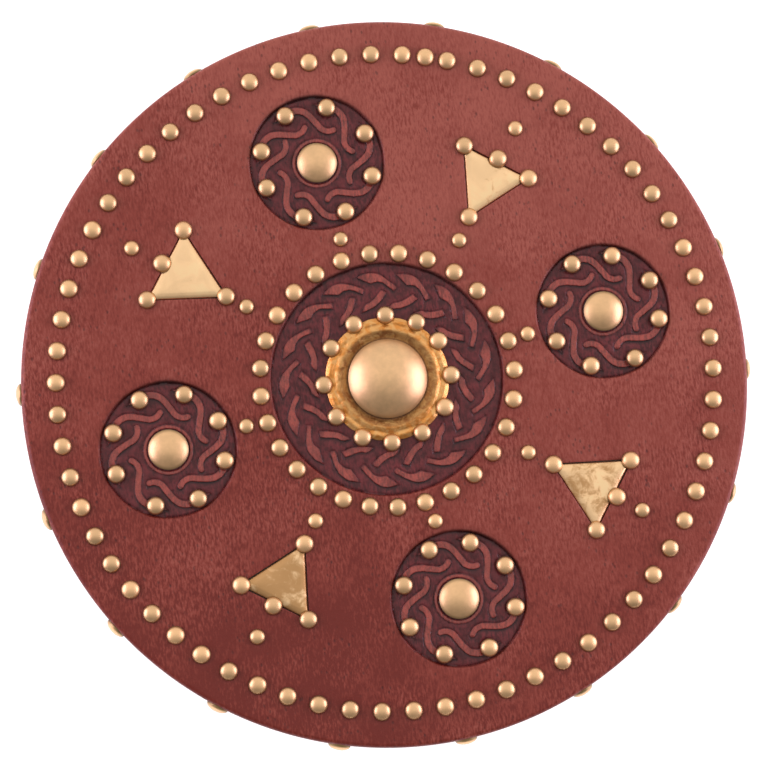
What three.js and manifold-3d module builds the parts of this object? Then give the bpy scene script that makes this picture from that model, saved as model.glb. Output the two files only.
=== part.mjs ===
// A Highland targe: a round wooden shield covered in tooled leather and set with brass.
// Millimetres, +Z up. The shield lies face up on the crowns of its two back straps, with
// the origin on the surface it lies on, under the middle of the disc.

import * as THREE from 'three';
import { mergeVertices } from 'three/addons/utils/BufferGeometryUtils.js';
import Module from 'manifold-3d';

const wasm = await Module();
wasm.setup();

// Driving sizes of the disc
const SHIELD_RADIUS = 250;
const LEATHER = 3.5;
const FIT_GAP = 0.3;
const BOARD_THICKNESS = 14;
const BACK_ROUNDING = 3;
const HEM_THICKNESS = 2.25;
const HEM_WIDTH = 30;
const CARVE_DEPTH = 2;
const RIM_SIDES = 60;

// Straps on the back
const STRAP_THICKNESS = 5;
const STRAP_GAP = 42;
const CROWN_HALF = 20;
const STRAP_STEPS = 6;
const STRAP_NAIL_INSET = 12;
const ARM_STRAP = { x: -95, width: 50, slope: 55, tail: 35 };
const HAND_GRIP = { x: 95, width: 30, slope: 42, tail: 30 };

// Levels, from the floor up
const BACK_Z = STRAP_THICKNESS + STRAP_GAP;
const BOARD_TOP = BACK_Z + BOARD_THICKNESS;
const FACE_Z = BOARD_TOP + LEATHER;
const GROUND_Z = FACE_Z - CARVE_DEPTH;
const HEM_Z = BACK_Z - HEM_THICKNESS;

// The pattern and the boss were each set by hand, a little off the disc's centre
const PATTERN_CENTRE = [-0.4, 0.5];
const BOSS_CENTRE = [-0.6, 1.2];

// Nails and studs: radius of the head and its height
const NAIL = { radius: 6.4, height: 4.6 };
const SMALL_STUD = { radius: 5.45, height: 4 };
const ROUNDEL_STUD = { radius: 13.7, height: 5.5 };
const ROUNDEL_STUD_SLOPES = [0, 38, 64, 90];
const EDGE_TACK = { radius: 7.7, height: 3.8 };
const EDGE_TACK_BED = 0.8;
const LOOSE_SHOULDER = { radius: 0.74, height: 0.72 };
const FUSED_TOP_RADIUS = 0.66;

// Rows of nails. Angles are in degrees, anticlockwise from the right. Strays are how far each
// nail, driven by eye, stands off its even place.
const RIM_ROW = { radius: 226, count: 65, first: 87.5, pitch: 5.5, closing: 83.4 };
const RING = { radius: 87.6, count: 28, first: 6.4, sway: 2.4, swayAt: 133 };
const EDGE_ROW = { count: 18, first: 2.5 };
const BOSS_ROW = { radius: 43.9, count: 12, first: 4, strays: [0, 3, -1, -2, -2, -2, 2, 3, 3, 0, -1, 0] };
const SINGLE_STUDS = [
  { radius: 102, first: 18.6 },
  { radius: 108.7, first: 63 },
  { radius: 196.6, first: 63.2 },
];

// The boss
const BOSS_DOME = { radius: 27.1, height: 15 };
const BOSS_DOME_SLOPES = [0, 28, 58, 90];
const COLLAR = {
  radius: 42.3,
  scallop: 0.5,
  lip: { height: 2, inner: 37 },
  ridge: { height: 3.9, radius: 33.7 },
  groove: { height: 1.5, radius: 30.5 },
  hole: 20,
};

// Centre roundel with its ring of plaited strands, each drawn as [degrees, radius]
const CENTRE_RECESS_RADIUS = 80.4;
const PLAIT_COUNT = 17;
const OUTER_STRAND = [[0.7, 61.5], [8, 66.9], [15, 67.1], [21.6, 72.9], [15, 74], [8, 71.1], [-0.6, 63.4]];
const INNER_STRAND = [[6.3, 59.3], [14, 51.2], [26, 48.7], [21.3, 52.7], [15, 55.2], [9.5, 61]];

// The four small roundels
const ROUNDELS = { radius: 157.3, count: 4, first: 18.1, recess: 46.8 };
const ROUNDEL_TURNS = [33.9, 32.5, 30.6, 32.8];
const ROUNDEL_STRAYS = [
  [0, 2, 0, -1, -1, -2, 0, 4],
  [0, 3, 2, 2, -5, -1, -2, 0],
  [0, -1, 0, -2, -5, 2, 1, 4],
  [3, 1, -1, -1, -3, -3, -1, 4],
];
const ROUNDEL_NAIL_RADIUS = 39;
const ROUNDEL_STRANDS = 8;
const ROUNDEL_STRAND = [[-6, 39.6], [-12, 38.9], [-20, 36.6], [-30, 30], [-41, 24.6], [-52, 23.6], [-61, 26]];
const ROUNDEL_STRAND_WIDTH = 4.2;
const ROUNDEL_STRAND_STEPS = 4;
const STUD_PAD_RADIUS = 17;

// The triangular plates, each cut and set by eye: [degrees, distance from the pattern's centre, side]
const PLATES = [[63.6, 155.2, 49.9], [153.1, 155.5, 54], [243.2, 155.7, 51.3], [333.3, 158.8, 53.6]];
const PLATE = { thickness: LEATHER, bevelDrop: 1.2, bevelWidth: 3 };
const WINDOW_GAP = 0.9;
const SIDE_NAIL_OFFSET = 2.6;

const EMBED = 0.5;
const NAIL_SIDES = 5;
const STUD_SIDES = 12;
const BOSS_SIDES = 24;
const CENTRE_RECESS_SIDES = 36;
const ROUNDEL_RECESS_SIDES = 24;

function radians(degrees) {
  return THREE.MathUtils.degToRad(degrees);
}

function polar(centre, degrees, radius) {
  const angle = radians(degrees);
  return [centre[0] + radius * Math.cos(angle), centre[1] + radius * Math.sin(angle)];
}

// Materials

function surface(color, roughness, metalness) {
  return new THREE.MeshStandardMaterial({ color, roughness, metalness });
}

const LOOKS = {
  leather: () => surface(0x8c463e, 0.55, 0),
  strap: () => surface(0x5f3226, 0.6, 0),
  wood: () => surface(0xb08a5c, 0.7, 0),
  brass: () => surface(0xdebd87, 0.3, 1),
  collar: () => surface(0xcf9c55, 0.4, 1),
};

// Solid helpers: from geometry to a closed solid and back

function toSolid(geometry) {
  const bare = geometry.clone();
  bare.deleteAttribute('normal');
  bare.deleteAttribute('uv');
  const merged = mergeVertices(bare, 1e-4);
  const index = merged.index.array;
  const kept = [];
  for (let i = 0; i < index.length; i += 3) {
    const [a, b, c] = [index[i], index[i + 1], index[i + 2]];
    if (a !== b && b !== c && c !== a) kept.push(a, b, c);
  }
  return new wasm.Manifold(new wasm.Mesh({
    numProp: 3,
    vertProperties: new Float32Array(merged.attributes.position.array),
    triVerts: new Uint32Array(kept),
  }));
}

function toGeometry(solid) {
  const mesh = solid.getMesh();
  const geometry = new THREE.BufferGeometry();
  geometry.setAttribute('position', new THREE.BufferAttribute(mesh.vertProperties, 3));
  geometry.setIndex(new THREE.BufferAttribute(mesh.triVerts, 1));
  geometry.computeVertexNormals();
  return geometry;
}

// A profile of [radius, height] points turned about the Z axis
function turned(profile, sides) {
  const points = profile.map(([radius, height]) => new THREE.Vector2(radius, height));
  return new THREE.LatheGeometry(points, sides).rotateX(Math.PI / 2);
}

// An upright block on a flat outline
function block(outline, bottom, top) {
  const shape = new THREE.Shape(outline.map(([x, y]) => new THREE.Vector2(x, y)));
  const options = { depth: top - bottom, bevelEnabled: false };
  return new THREE.ExtrudeGeometry(shape, options).translate(0, 0, bottom);
}

function circle(centre, radius, sides) {
  const outline = [];
  for (let i = 0; i < sides; i += 1) outline.push(polar(centre, (360 * i) / sides, radius));
  return outline;
}

// Rows: where the nails go, as { x, y, angle } on the disc

function spot(centre, degrees, radius) {
  const [x, y] = polar(centre, degrees, radius);
  return { x, y, angle: degrees };
}

function rimRow() {
  const row = [spot(PATTERN_CENTRE, RIM_ROW.closing, RIM_ROW.radius)];
  for (let i = 0; i < RIM_ROW.count; i += 1) {
    row.push(spot(PATTERN_CENTRE, RIM_ROW.first + RIM_ROW.pitch * i, RIM_ROW.radius));
  }
  return row;
}

function ringRow() {
  const row = [];
  for (let i = 0; i < RING.count; i += 1) {
    const even = RING.first + (360 * i) / RING.count;
    const sway = RING.sway * Math.cos(radians(even - RING.swayAt));
    row.push(spot(PATTERN_CENTRE, even + sway, RING.radius));
  }
  return row;
}

function handRow(centre, { radius, count, first, strays = [] }) {
  const row = [];
  for (let i = 0; i < count; i += 1) {
    row.push(spot(centre, first + (360 * i) / count + (strays[i] ?? 0), radius));
  }
  return row;
}

const roundelSpots = handRow(PATTERN_CENTRE, ROUNDELS);

// The eight nails of a roundel, each at the head of a strand
function roundelNails(k) {
  const row = { count: ROUNDEL_STRANDS, first: ROUNDEL_TURNS[k], strays: ROUNDEL_STRAYS[k] };
  return handRow([roundelSpots[k].x, roundelSpots[k].y], { radius: ROUNDEL_NAIL_RADIUS, ...row });
}

// Carving of the leather

function plaitStrand(drawn, turn) {
  const outline = drawn.map(([degrees, radius]) => polar(BOSS_CENTRE, degrees + turn, radius));
  return block(outline, GROUND_Z - EMBED, FACE_Z);
}

function recess(centre, radius, sides) {
  return block(circle(centre, radius, sides), GROUND_Z, FACE_Z + 1);
}

// A roundel strand runs clockwise from its nail in a long S towards the stud's ring
function roundelStrand(centre, turn) {
  const path = new THREE.SplineCurve(
    ROUNDEL_STRAND.map(([degrees, radius]) => new THREE.Vector2(...polar(centre, degrees + turn, radius))),
  );
  const left = [];
  const right = [];
  for (let i = 0; i <= ROUNDEL_STRAND_STEPS; i += 1) {
    const t = i / ROUNDEL_STRAND_STEPS;
    const point = path.getPoint(t);
    const along = path.getTangent(t);
    const half = ROUNDEL_STRAND_WIDTH / 2;
    left.push([point.x - along.y * half, point.y + along.x * half]);
    right.push([point.x + along.y * half, point.y - along.x * half]);
  }
  return block([...right, ...left.reverse()], GROUND_Z - EMBED, FACE_Z);
}

// A round pad of leather is left standing under the stud of a roundel
function studPad(centre) {
  return block(circle(centre, STUD_PAD_RADIUS, STUD_SIDES), GROUND_Z - EMBED, FACE_Z);
}

function triangle(side) {
  const reach = side / Math.sqrt(3);
  return { reach, inset: side / (2 * Math.sqrt(3)) };
}

// The three corners of a plate: one points to the boss
function plateCorners([degrees, distance, side], grow) {
  const middle = polar(PATTERN_CENTRE, degrees, distance);
  const reach = triangle(side).reach + 2 * grow;
  return [180, 300, 60].map((turn) => spot(middle, degrees + turn, reach));
}

function windowCut(plate) {
  const outline = plateCorners(plate, WINDOW_GAP).map(({ x, y }) => [x, y]);
  return block(outline, BOARD_TOP - EMBED, FACE_Z + EMBED);
}

// A domed head with its base on z = 0
function looseHead({ radius, height }) {
  const shoulder = [LOOSE_SHOULDER.radius * radius, LOOSE_SHOULDER.height * height];
  return turned([[0, 0], [radius, 0], shoulder, [0, height]], NAIL_SIDES);
}

// A plainer head, sunk by the depth that it is bedded in
function fusedHead({ radius, height }, bed) {
  const profile = [[0, -bed], [radius, -bed], [FUSED_TOP_RADIUS * radius, height], [0, height]];
  return turned(profile, NAIL_SIDES);
}

function edgeTack(degrees) {
  const tack = fusedHead(EDGE_TACK, EDGE_TACK_BED).rotateY(Math.PI / 2);
  const middle = (HEM_Z + FACE_Z) / 2;
  return tack.translate(SHIELD_RADIUS, 0, middle).rotateZ(radians(degrees));
}

function quarter(cx, cz, radius, from, steps) {
  const points = [];
  for (let i = 0; i <= steps; i += 1) {
    const angle = radians(from + (90 * i) / steps);
    points.push([cx + radius * Math.cos(angle), cz + radius * Math.sin(angle)]);
  }
  return points;
}

function leatherCover() {
  const inside = SHIELD_RADIUS - LEATHER;
  const cover = toSolid(turned([
    [0, BOARD_TOP],
    [inside, BOARD_TOP],
    [inside, BACK_Z],
    [SHIELD_RADIUS - HEM_WIDTH, BACK_Z],
    [SHIELD_RADIUS - HEM_WIDTH, HEM_Z],
    ...quarter(SHIELD_RADIUS - BACK_ROUNDING, HEM_Z + BACK_ROUNDING, BACK_ROUNDING, -90, 1),
    ...quarter(inside, BOARD_TOP, LEATHER, 0, 2),
    [0, FACE_Z],
  ], RIM_SIDES));

  let carved = cover.subtract(toSolid(recess(BOSS_CENTRE, CENTRE_RECESS_RADIUS, CENTRE_RECESS_SIDES)));
  for (let i = 0; i < PLAIT_COUNT; i += 1) {
    const turn = (360 * i) / PLAIT_COUNT;
    carved = carved.add(toSolid(plaitStrand(OUTER_STRAND, turn)));
    carved = carved.add(toSolid(plaitStrand(INNER_STRAND, turn)));
  }
  roundelSpots.forEach((middle, k) => {
    const centre = [middle.x, middle.y];
    carved = carved.subtract(toSolid(recess(centre, ROUNDELS.recess, ROUNDEL_RECESS_SIDES)));
    for (const { angle } of roundelNails(k)) carved = carved.add(toSolid(roundelStrand(centre, angle)));
    carved = carved.add(toSolid(studPad(centre)));
  });
  for (const plate of PLATES) carved = carved.subtract(toSolid(windowCut(plate)));
  for (const { x, y } of [...rimRow(), ...ringRow()]) {
    carved = carved.add(toSolid(fusedHead(NAIL, EMBED).translate(x, y, FACE_Z)));
  }
  for (const { x, y } of roundelSpots.flatMap((middle, k) => roundelNails(k))) {
    carved = carved.add(toSolid(fusedHead(NAIL, CARVE_DEPTH + EMBED).translate(x, y, FACE_Z)));
  }
  for (let i = 0; i < EDGE_ROW.count; i += 1) {
    carved = carved.add(toSolid(edgeTack(EDGE_ROW.first + (360 * i) / EDGE_ROW.count)));
  }
  return toGeometry(carved);
}

// The wooden board

function board() {
  const radius = SHIELD_RADIUS - LEATHER - FIT_GAP;
  return turned([[0, BACK_Z], [radius, BACK_Z], [radius, BOARD_TOP], [0, BOARD_TOP]], RIM_SIDES);
}

// The boss: a collar with a lip, a ridge and a groove, and the dome that stands in the groove

function bossCollar() {
  const { radius, scallop, lip, ridge, groove, hole } = COLLAR;
  const collar = turned([
    [hole, 0],
    [radius, 0],
    [radius, lip.height],
    [lip.inner, lip.height],
    [ridge.radius, ridge.height],
    [groove.radius, groove.height],
    [hole, groove.height],
    [hole, 0],
  ], BOSS_SIDES);
  const position = collar.attributes.position;
  for (let i = 0; i < position.count; i += 1) {
    const [x, y] = [position.getX(i), position.getY(i)];
    const reach = Math.hypot(x, y);
    if (reach > (lip.inner + radius) / 2) {
      const wave = Math.cos(BOSS_ROW.count * Math.atan2(y, x));
      const grown = (reach - scallop * wave) / reach;
      position.setXY(i, x * grown, y * grown);
    }
  }
  return collar;
}

// A pressed dome, with the slopes of its rings in degrees
function dome({ radius, height }, slopes, sides) {
  const rings = slopes.map((slope) => [radius * Math.cos(radians(slope)), height * Math.sin(radians(slope))]);
  return turned([[0, 0], ...rings.slice(0, -1), [0, height]], sides);
}

// A brass plate: a shallow pillow with bevelled borders, turned from three sides

function brassPlate([, , side]) {
  const { thickness, bevelDrop, bevelWidth } = PLATE;
  const { reach } = triangle(side);
  const plate = turned([
    [0, 0],
    [reach, 0],
    [reach, thickness - bevelDrop],
    [reach - 2 * bevelWidth, thickness],
    [0, thickness],
  ], 3);
  // the first of the three corners points along +X
  return plate.rotateZ(Math.PI / 2);
}

// A strap: two flat tails under the board and a loop between them whose crown is flat

function strapPath({ slope, tail }) {
  const half = [];
  for (let i = 0; i <= STRAP_STEPS; i += 1) {
    const t = i / STRAP_STEPS;
    const rise = (1 - Math.cos(Math.PI * t)) / 2;
    half.push([CROWN_HALF + slope * t, STRAP_THICKNESS / 2 + STRAP_GAP * rise]);
  }
  half.push([CROWN_HALF + slope + tail, STRAP_THICKNESS / 2 + STRAP_GAP]);
  return [...half.map(([y, z]) => [-y, z]).reverse(), ...half];
}

function strap(size) {
  const path = strapPath(size);
  const half = STRAP_THICKNESS / 2;
  const above = [];
  const below = [];
  path.forEach(([y, z], i) => {
    const reach = Math.abs(y);
    const sloping = reach > CROWN_HALF + EMBED && reach < CROWN_HALF + size.slope - EMBED;
    const [before, after] = [path[Math.max(i - 1, 0)], path[Math.min(i + 1, path.length - 1)]];
    const slant = sloping ? Math.atan2(after[1] - before[1], after[0] - before[0]) : 0;
    above.push([y - half * Math.sin(slant), z + half * Math.cos(slant)]);
    below.push([y + half * Math.sin(slant), z - half * Math.cos(slant)]);
  });
  const band = block([...below, ...above.reverse()], -size.width / 2, size.width / 2);
  // the outline was drawn in Y and Z, and its thickness becomes X
  band.applyMatrix4(new THREE.Matrix4().set(0, 0, 1, 0, 1, 0, 0, 0, 0, 1, 0, 0, 0, 0, 0, 1));
  let solid = toSolid(band);
  for (const end of [-1, 1]) {
    for (const side of [-1, 1]) {
      const y = end * (CROWN_HALF + size.slope + size.tail - STRAP_NAIL_INSET);
      const nail = fusedHead(SMALL_STUD, EMBED).rotateX(Math.PI);
      solid = solid.add(toSolid(nail.translate((side * size.width) / 4, y, STRAP_GAP)));
    }
  }
  return toGeometry(solid);
}

// The shield put together

const shield = new THREE.Group();

function put(name, geometry, look, { x = 0, y = 0, z = 0, turn = 0 } = {}) {
  const mesh = new THREE.Mesh(geometry, LOOKS[look]());
  mesh.name = name;
  mesh.position.set(x, y, z);
  mesh.rotation.z = radians(turn);
  shield.add(mesh);
}

function twoDigits(number) {
  return String(number).padStart(2, '0');
}

put('board', board(), 'wood');
put('leather_cover', leatherCover(), 'leather');

const boss = { x: BOSS_CENTRE[0], y: BOSS_CENTRE[1] };
put('boss_collar', bossCollar(), 'collar', { ...boss, z: GROUND_Z, turn: BOSS_ROW.first });
const bossShape = dome(BOSS_DOME, BOSS_DOME_SLOPES, BOSS_SIDES);
put('boss_dome', bossShape, 'brass', { ...boss, z: GROUND_Z + COLLAR.groove.height });
handRow(BOSS_CENTRE, BOSS_ROW).forEach(({ x, y, angle }, i) => {
  put(`boss_nail_${twoDigits(i + 1)}`, looseHead(NAIL), 'brass', { x, y, z: FACE_Z, turn: angle });
});

PLATES.forEach((plate, i) => {
  const [degrees, distance, side] = plate;
  const name = `plate_${i + 1}`;
  const [x, y] = polar(PATTERN_CENTRE, degrees, distance);
  put(name, brassPlate(plate), 'brass', { x, y, z: BOARD_TOP, turn: degrees + 180 });
  const outer = distance + triangle(side).inset + SIDE_NAIL_OFFSET;
  const nails = [...plateCorners(plate, 0), spot(PATTERN_CENTRE, degrees, outer)];
  nails.forEach((nail, k) => {
    const place = { x: nail.x, y: nail.y, z: FACE_Z, turn: degrees };
    put(`${name}_nail_${k + 1}`, looseHead(NAIL), 'brass', place);
  });
});

roundelSpots.forEach(({ x, y }, i) => {
  const stud = dome(ROUNDEL_STUD, ROUNDEL_STUD_SLOPES, STUD_SIDES);
  put(`roundel_stud_${i + 1}`, stud, 'brass', { x, y, z: FACE_Z });
});

SINGLE_STUDS.flatMap((row) => handRow(PATTERN_CENTRE, { ...row, count: 4 })).forEach(({ x, y, angle }, i) => {
  put(`stud_${twoDigits(i + 1)}`, looseHead(SMALL_STUD), 'brass', { x, y, z: FACE_Z, turn: angle });
});

put('arm_strap', strap(ARM_STRAP), 'strap', { x: ARM_STRAP.x });
put('hand_grip', strap(HAND_GRIP), 'strap', { x: HAND_GRIP.x });

export default shield;
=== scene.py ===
"""Dresses a Highland targe: a round wooden shield in tooled leather, set with brass.

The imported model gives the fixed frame. Each operator makes one piece, or one group of
like pieces, in the place that the frame gives it. Lengths are in metres and angles in
degrees, except for the carved outlines, which are drawn in degrees and millimetres.
"""

import math

import bpy
import numpy as np
from bpy.props import FloatProperty, FloatVectorProperty, IntProperty, PointerProperty
from bpy.types import Operator, Panel, PropertyGroup
from mathutils import Matrix, Vector, noise
from mathutils.geometry import delaunay_2d_cdt
from mathutils.kdtree import KDTree


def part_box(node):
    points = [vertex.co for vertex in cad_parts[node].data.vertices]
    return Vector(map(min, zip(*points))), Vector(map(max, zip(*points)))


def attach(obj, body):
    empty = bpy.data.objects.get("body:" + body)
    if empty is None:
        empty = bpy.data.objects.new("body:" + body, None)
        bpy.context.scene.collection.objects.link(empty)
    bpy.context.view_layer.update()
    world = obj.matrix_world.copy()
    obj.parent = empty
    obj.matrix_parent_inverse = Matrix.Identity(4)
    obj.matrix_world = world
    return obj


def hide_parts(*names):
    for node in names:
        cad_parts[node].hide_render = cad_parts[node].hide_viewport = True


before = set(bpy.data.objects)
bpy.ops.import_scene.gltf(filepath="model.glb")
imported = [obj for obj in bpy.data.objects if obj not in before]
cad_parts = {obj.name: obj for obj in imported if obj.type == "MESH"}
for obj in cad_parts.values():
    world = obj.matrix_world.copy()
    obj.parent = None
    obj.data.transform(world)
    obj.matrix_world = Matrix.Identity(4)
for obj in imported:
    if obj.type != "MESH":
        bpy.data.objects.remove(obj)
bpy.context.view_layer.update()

bl_info = {
    "name": "Highland Targe",
    "version": (1, 0, 0),
    "blender": (4, 5, 0),
    "location": "View3D > Sidebar > Targe",
    "description": "Dresses a leather-covered round shield with tooled hide and brass",
    "category": "Object",
}

# Names in the frame

PLATES = [f"plate_{k}" for k in range(1, 5)]
PLATE_NAILS = [f"{plate}_nail_{k}" for plate in PLATES for k in range(1, 5)]
ROUNDEL_STUDS = [f"roundel_stud_{k}" for k in range(1, 5)]
BOSS_NAILS = [f"boss_nail_{k:02d}" for k in range(1, 13)]
SINGLE_STUDS = [f"stud_{k:02d}" for k in range(1, 13)]


def axis_of(node):
    """The (x, y) of a turned node's axis, where its highest point is."""
    crown = max((v.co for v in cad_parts[node].data.vertices), key=lambda co: co.z)
    return np.array([crown.x, crown.y])


def foot_corners(node):
    """The corners of a plate's underside, as (x, y), anticlockwise."""
    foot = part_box(node)[0].z
    middle = np.array(sum(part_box(node), Vector()))[:2] / 2
    found = {(round(v.co.x, 6), round(v.co.y, 6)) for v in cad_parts[node].data.vertices
             if v.co.z < foot + 1e-5}
    spots = sorted((np.array(spot) for spot in found), key=lambda s: -np.hypot(*(s - middle)))[:3]
    return sorted(spots, key=lambda s: math.atan2(*(s - middle)[::-1]))


# Levels and sizes that the frame gives

FACE_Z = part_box("plate_1_nail_1")[0].z
GROUND_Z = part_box("boss_collar")[0].z
BOARD_TOP_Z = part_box("board")[1].z
BACK_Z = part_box("board")[0].z
HEM_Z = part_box("leather_cover")[0].z
LEATHER = FACE_Z - BOARD_TOP_Z
CARVE_DEPTH = FACE_Z - GROUND_Z
BOARD_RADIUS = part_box("board")[1].x
BOSS_CENTRE = axis_of("boss_dome")
ROUNDEL_CENTRES = [axis_of(stud) for stud in ROUNDEL_STUDS]
PATTERN_CENTRE = sum(ROUNDEL_CENTRES) / len(ROUNDEL_CENTRES)

# Sizes of the hide

SHIELD_RADIUS = 0.25
FACE_RADIUS = SHIELD_RADIUS - LEATHER
BACK_ROUNDING = 0.003
HEM_WIDTH = 0.03
RIM_STEPS = 400
RECESS_RADIUS = 0.0804
ROUNDEL_RADIUS = 0.0468

# Nails: radius of the head, and its height

NAIL = (0.0064, 0.0046)
SMALL_STUD = (0.00545, 0.004)
ROUNDEL_STUD = (0.0137, 0.0055)
EDGE_TACK = (0.0077, 0.0038)
NAIL_BED = 0.0004
EDGE_TACK_BED = 0.0008
NAIL_SQUEEZE = (0.985, 1.01)
NAIL_LEAN = 0.02
UPRIGHT = np.eye(3)

# Rows of nails. Strays are how far each nail, driven by eye, stands off its even place.

RIM_ROW = {"radius": 0.226, "count": 65, "first": 87.5, "pitch": 5.5, "closing": 83.4}
RING = {"radius": 0.0876, "count": 28, "first": 6.4, "sway": 2.4, "sway_at": 133}
EDGE_ROW = {"count": 18, "first": 2.5}
ROUNDEL_NAIL_RADIUS = 0.039
ROUNDEL_TURNS = [33.9, 32.5, 30.6, 32.8]
ROUNDEL_STRAYS = [
    [0, 2, 0, -1, -1, -2, 0, 4],
    [0, 3, 2, 2, -5, -1, -2, 0],
    [0, -1, 0, -2, -5, 2, 1, 4],
    [3, 1, -1, -1, -3, -3, -1, 4],
]

# Carved outlines, in degrees and millimetres

PLAIT_COUNT = 17
OUTER_STRAND = (
    [(-0.6, 63.6), (3.3, 66.8), (6.7, 69.8), (10, 72.3), (13.3, 73.7), (17.3, 73.9), (21.6, 72.9)],
    [(15, 67.1), (11.7, 67.8), (9.3, 67.4), (6.5, 66.1), (0.9, 61.3)],
)
INNER_STRAND = (
    [(9.5, 61), (11.7, 58.3), (15, 55.1), (18.3, 53.3), (21.3, 52.7), (23.3, 51.3), (26, 48.7)],
    [(23.3, 48.8), (20, 49.3), (16.6, 50.1), (13.3, 51.8), (10, 54.3), (7.7, 57.1), (6.3, 59.3)],
)
ROUNDEL_STRAND = [
    (-3, 39.2), (-8.3, 39.5), (-13.3, 38.9), (-20, 36.7), (-25.8, 33), (-30, 30), (-35, 27.1),
    (-40.8, 24.5), (-46.7, 23.6), (-52.5, 23.7), (-57.5, 24.7), (-60.8, 26.1),
]
ROUNDEL_STRAND_HALF = (0.0026, 0.0022)
NAIL_STUB = [(2, 42.3), (2, 37), (12.6, 41)]
STUD_RING = (0.0144, 0.0171)
NAIL_PAD_RADIUS = 0.0058

# Profiles of the carving

STRAND_GROWTH = 0.0005
STRAND_ROUNDING = 0.0036
STRAND_WANDER = 0.0003
WANDER_SIZE = 0.006
STRAND_TURN = 0.5
STRAND_SHIFT = 0.0004
DIVE = 0.45
DIVE_SHARE = 0.3
CUT_DEPTH = 0.0006
CUT_WIDTH = 0.0009
WALL_WIDTH = 0.001
SIDE_PROBE = 0.0002
LIP_DROP = 0.0003
LIP_WIDTH = 0.0006
WINDOW_DROP = 0.0003
WINDOW_DROP_WIDTH = 0.0005
DIMPLE_DEPTH = 0.0003
DIMPLE_WIDTH = 0.0016

# Uneven surface of the hide: height, and size across. The face is calm near the rim.

FACE_SWELL = (1.2e-4, 0.05)
GROUND_TOOLING = (2.4e-4, 0.006)
CALM_WIDTH = 0.02

# The hem: how high its pleats stand, and how far its cut edge wanders

PLEAT = 0.0007
HEM_WANDER = 0.0012

# Spacing of the points that the hide's mesh is made from

OUTLINE_STEP = 0.001
RING_STEP = 0.0016
CARVED_STEP = 0.0014
PLAIN_STEP = 0.003
STRAND_LEVELS = (0.0, -0.0004, 0.00015, -0.0009, 0.0005, 0.001, -0.0016, 0.0017)
WALL_LEVELS = (0.0, 0.0003, 0.0006, 0.001, -0.0003, -0.0007, -0.0014, 0.0015, 0.0022, 0.0032)
WINDOW_LEVELS = (-0.0003, -0.0007, -0.0014)
DIMPLE_LEVELS = (0.0006, -0.0004, -0.0013, -0.0026)
PAD_LEVELS = (0.0, -0.0009, 0.001)


def polar(centre, degrees, radius):
    """A point at that angle and distance from the centre."""
    angle = math.radians(degrees)
    return np.array([centre[0] + radius * math.cos(angle), centre[1] + radius * math.sin(angle)])


def drawn(centre, turn, points):
    """Points drawn in degrees and millimetres about a centre, turned by some degrees."""
    return np.array([polar(centre, degrees + turn, radius / 1000) for degrees, radius in points])


def rim_row():
    """The nails just inside the rim, which end in a narrower closing gap."""
    angles = [RIM_ROW["first"] + RIM_ROW["pitch"] * i for i in range(RIM_ROW["count"])]
    return [polar(PATTERN_CENTRE, angle, RIM_ROW["radius"]) for angle in [RIM_ROW["closing"], *angles]]


def ring_row():
    """The nails round the centre roundel, which crowd a little to one side."""
    spots = []
    for i in range(RING["count"]):
        even = RING["first"] + 360 * i / RING["count"]
        sway = RING["sway"] * math.cos(math.radians(even - RING["sway_at"]))
        spots.append(polar(PATTERN_CENTRE, even + sway, RING["radius"]))
    return spots


def roundel_row(k):
    """(degrees, point) of each nail of a roundel."""
    strays = ROUNDEL_STRAYS[k]
    angles = [ROUNDEL_TURNS[k] + 360 * i / len(strays) + stray for i, stray in enumerate(strays)]
    return [(angle, polar(ROUNDEL_CENTRES[k], angle, ROUNDEL_NAIL_RADIUS)) for angle in angles]


# Outlines on the face


def bell(distance, width):
    """1 at no distance, and next to nothing from two widths on."""
    return np.exp(-(distance / width) ** 2)


def eased(share):
    """A smooth step over a share that goes from 0 to 1."""
    return share * share * (3 - 2 * share)


def smooth_line(points, step):
    """An even run of points on a Catmull-Rom curve through the given ones."""
    ends = [2 * points[0] - points[1], *points, 2 * points[-1] - points[-2]]
    line = []
    for a, b, c, d in zip(ends, ends[1:], ends[2:], ends[3:]):
        count = max(1, round(float(np.hypot(*(c - b))) / step))
        for t in np.arange(count) / count:
            line.append(0.5 * (2 * b + (c - a) * t + (2 * a - 5 * b + 4 * c - d) * t**2
                               + (3 * b - a - 3 * c + d) * t**3))
    return np.array([*line, points[-1]])


def straight_line(start, end, step):
    """An even run of points from start up to, and without, end."""
    count = max(1, round(float(np.hypot(*(end - start))) / step))
    return start + (end - start) * (np.arange(count) / count)[:, None]


def plait_outline(strand, turn):
    """The outline of one strand of the centre plait: two curved sides and two straight ends."""
    sides = [smooth_line(drawn(BOSS_CENTRE, turn, side), OUTLINE_STEP) for side in strand]
    ends = [straight_line(sides[i][-1], sides[1 - i][0], OUTLINE_STEP)[1:] for i in (0, 1)]
    return grown(np.vstack([sides[0], ends[0], sides[1], ends[1]]), STRAND_GROWTH)


def outward_of(outline):
    """The outward direction across each edge of a closed outline."""
    ahead = np.roll(outline, -1, axis=0) - outline
    turn = math.copysign(1, (outline[:, 0] * ahead[:, 1] - outline[:, 1] * ahead[:, 0]).sum())
    return turn * np.stack([ahead[:, 1], -ahead[:, 0]], 1) / np.hypot(*ahead.T)[:, None]


def grown(outline, growth):
    """A closed outline moved outwards all round."""
    outward = outward_of(outline)
    mean = outward + np.roll(outward, 1, axis=0)
    return outline + growth * mean / np.hypot(*mean.T)[:, None]


def wandering(outline):
    """An outline whose line wanders a little, as a hand-cut one does."""
    moves = [[soft(x, y, part, size=WANDER_SIZE) for part in (0.4, 0.8)] for x, y in outline]
    return outline + STRAND_WANDER * np.array(moves)


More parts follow.
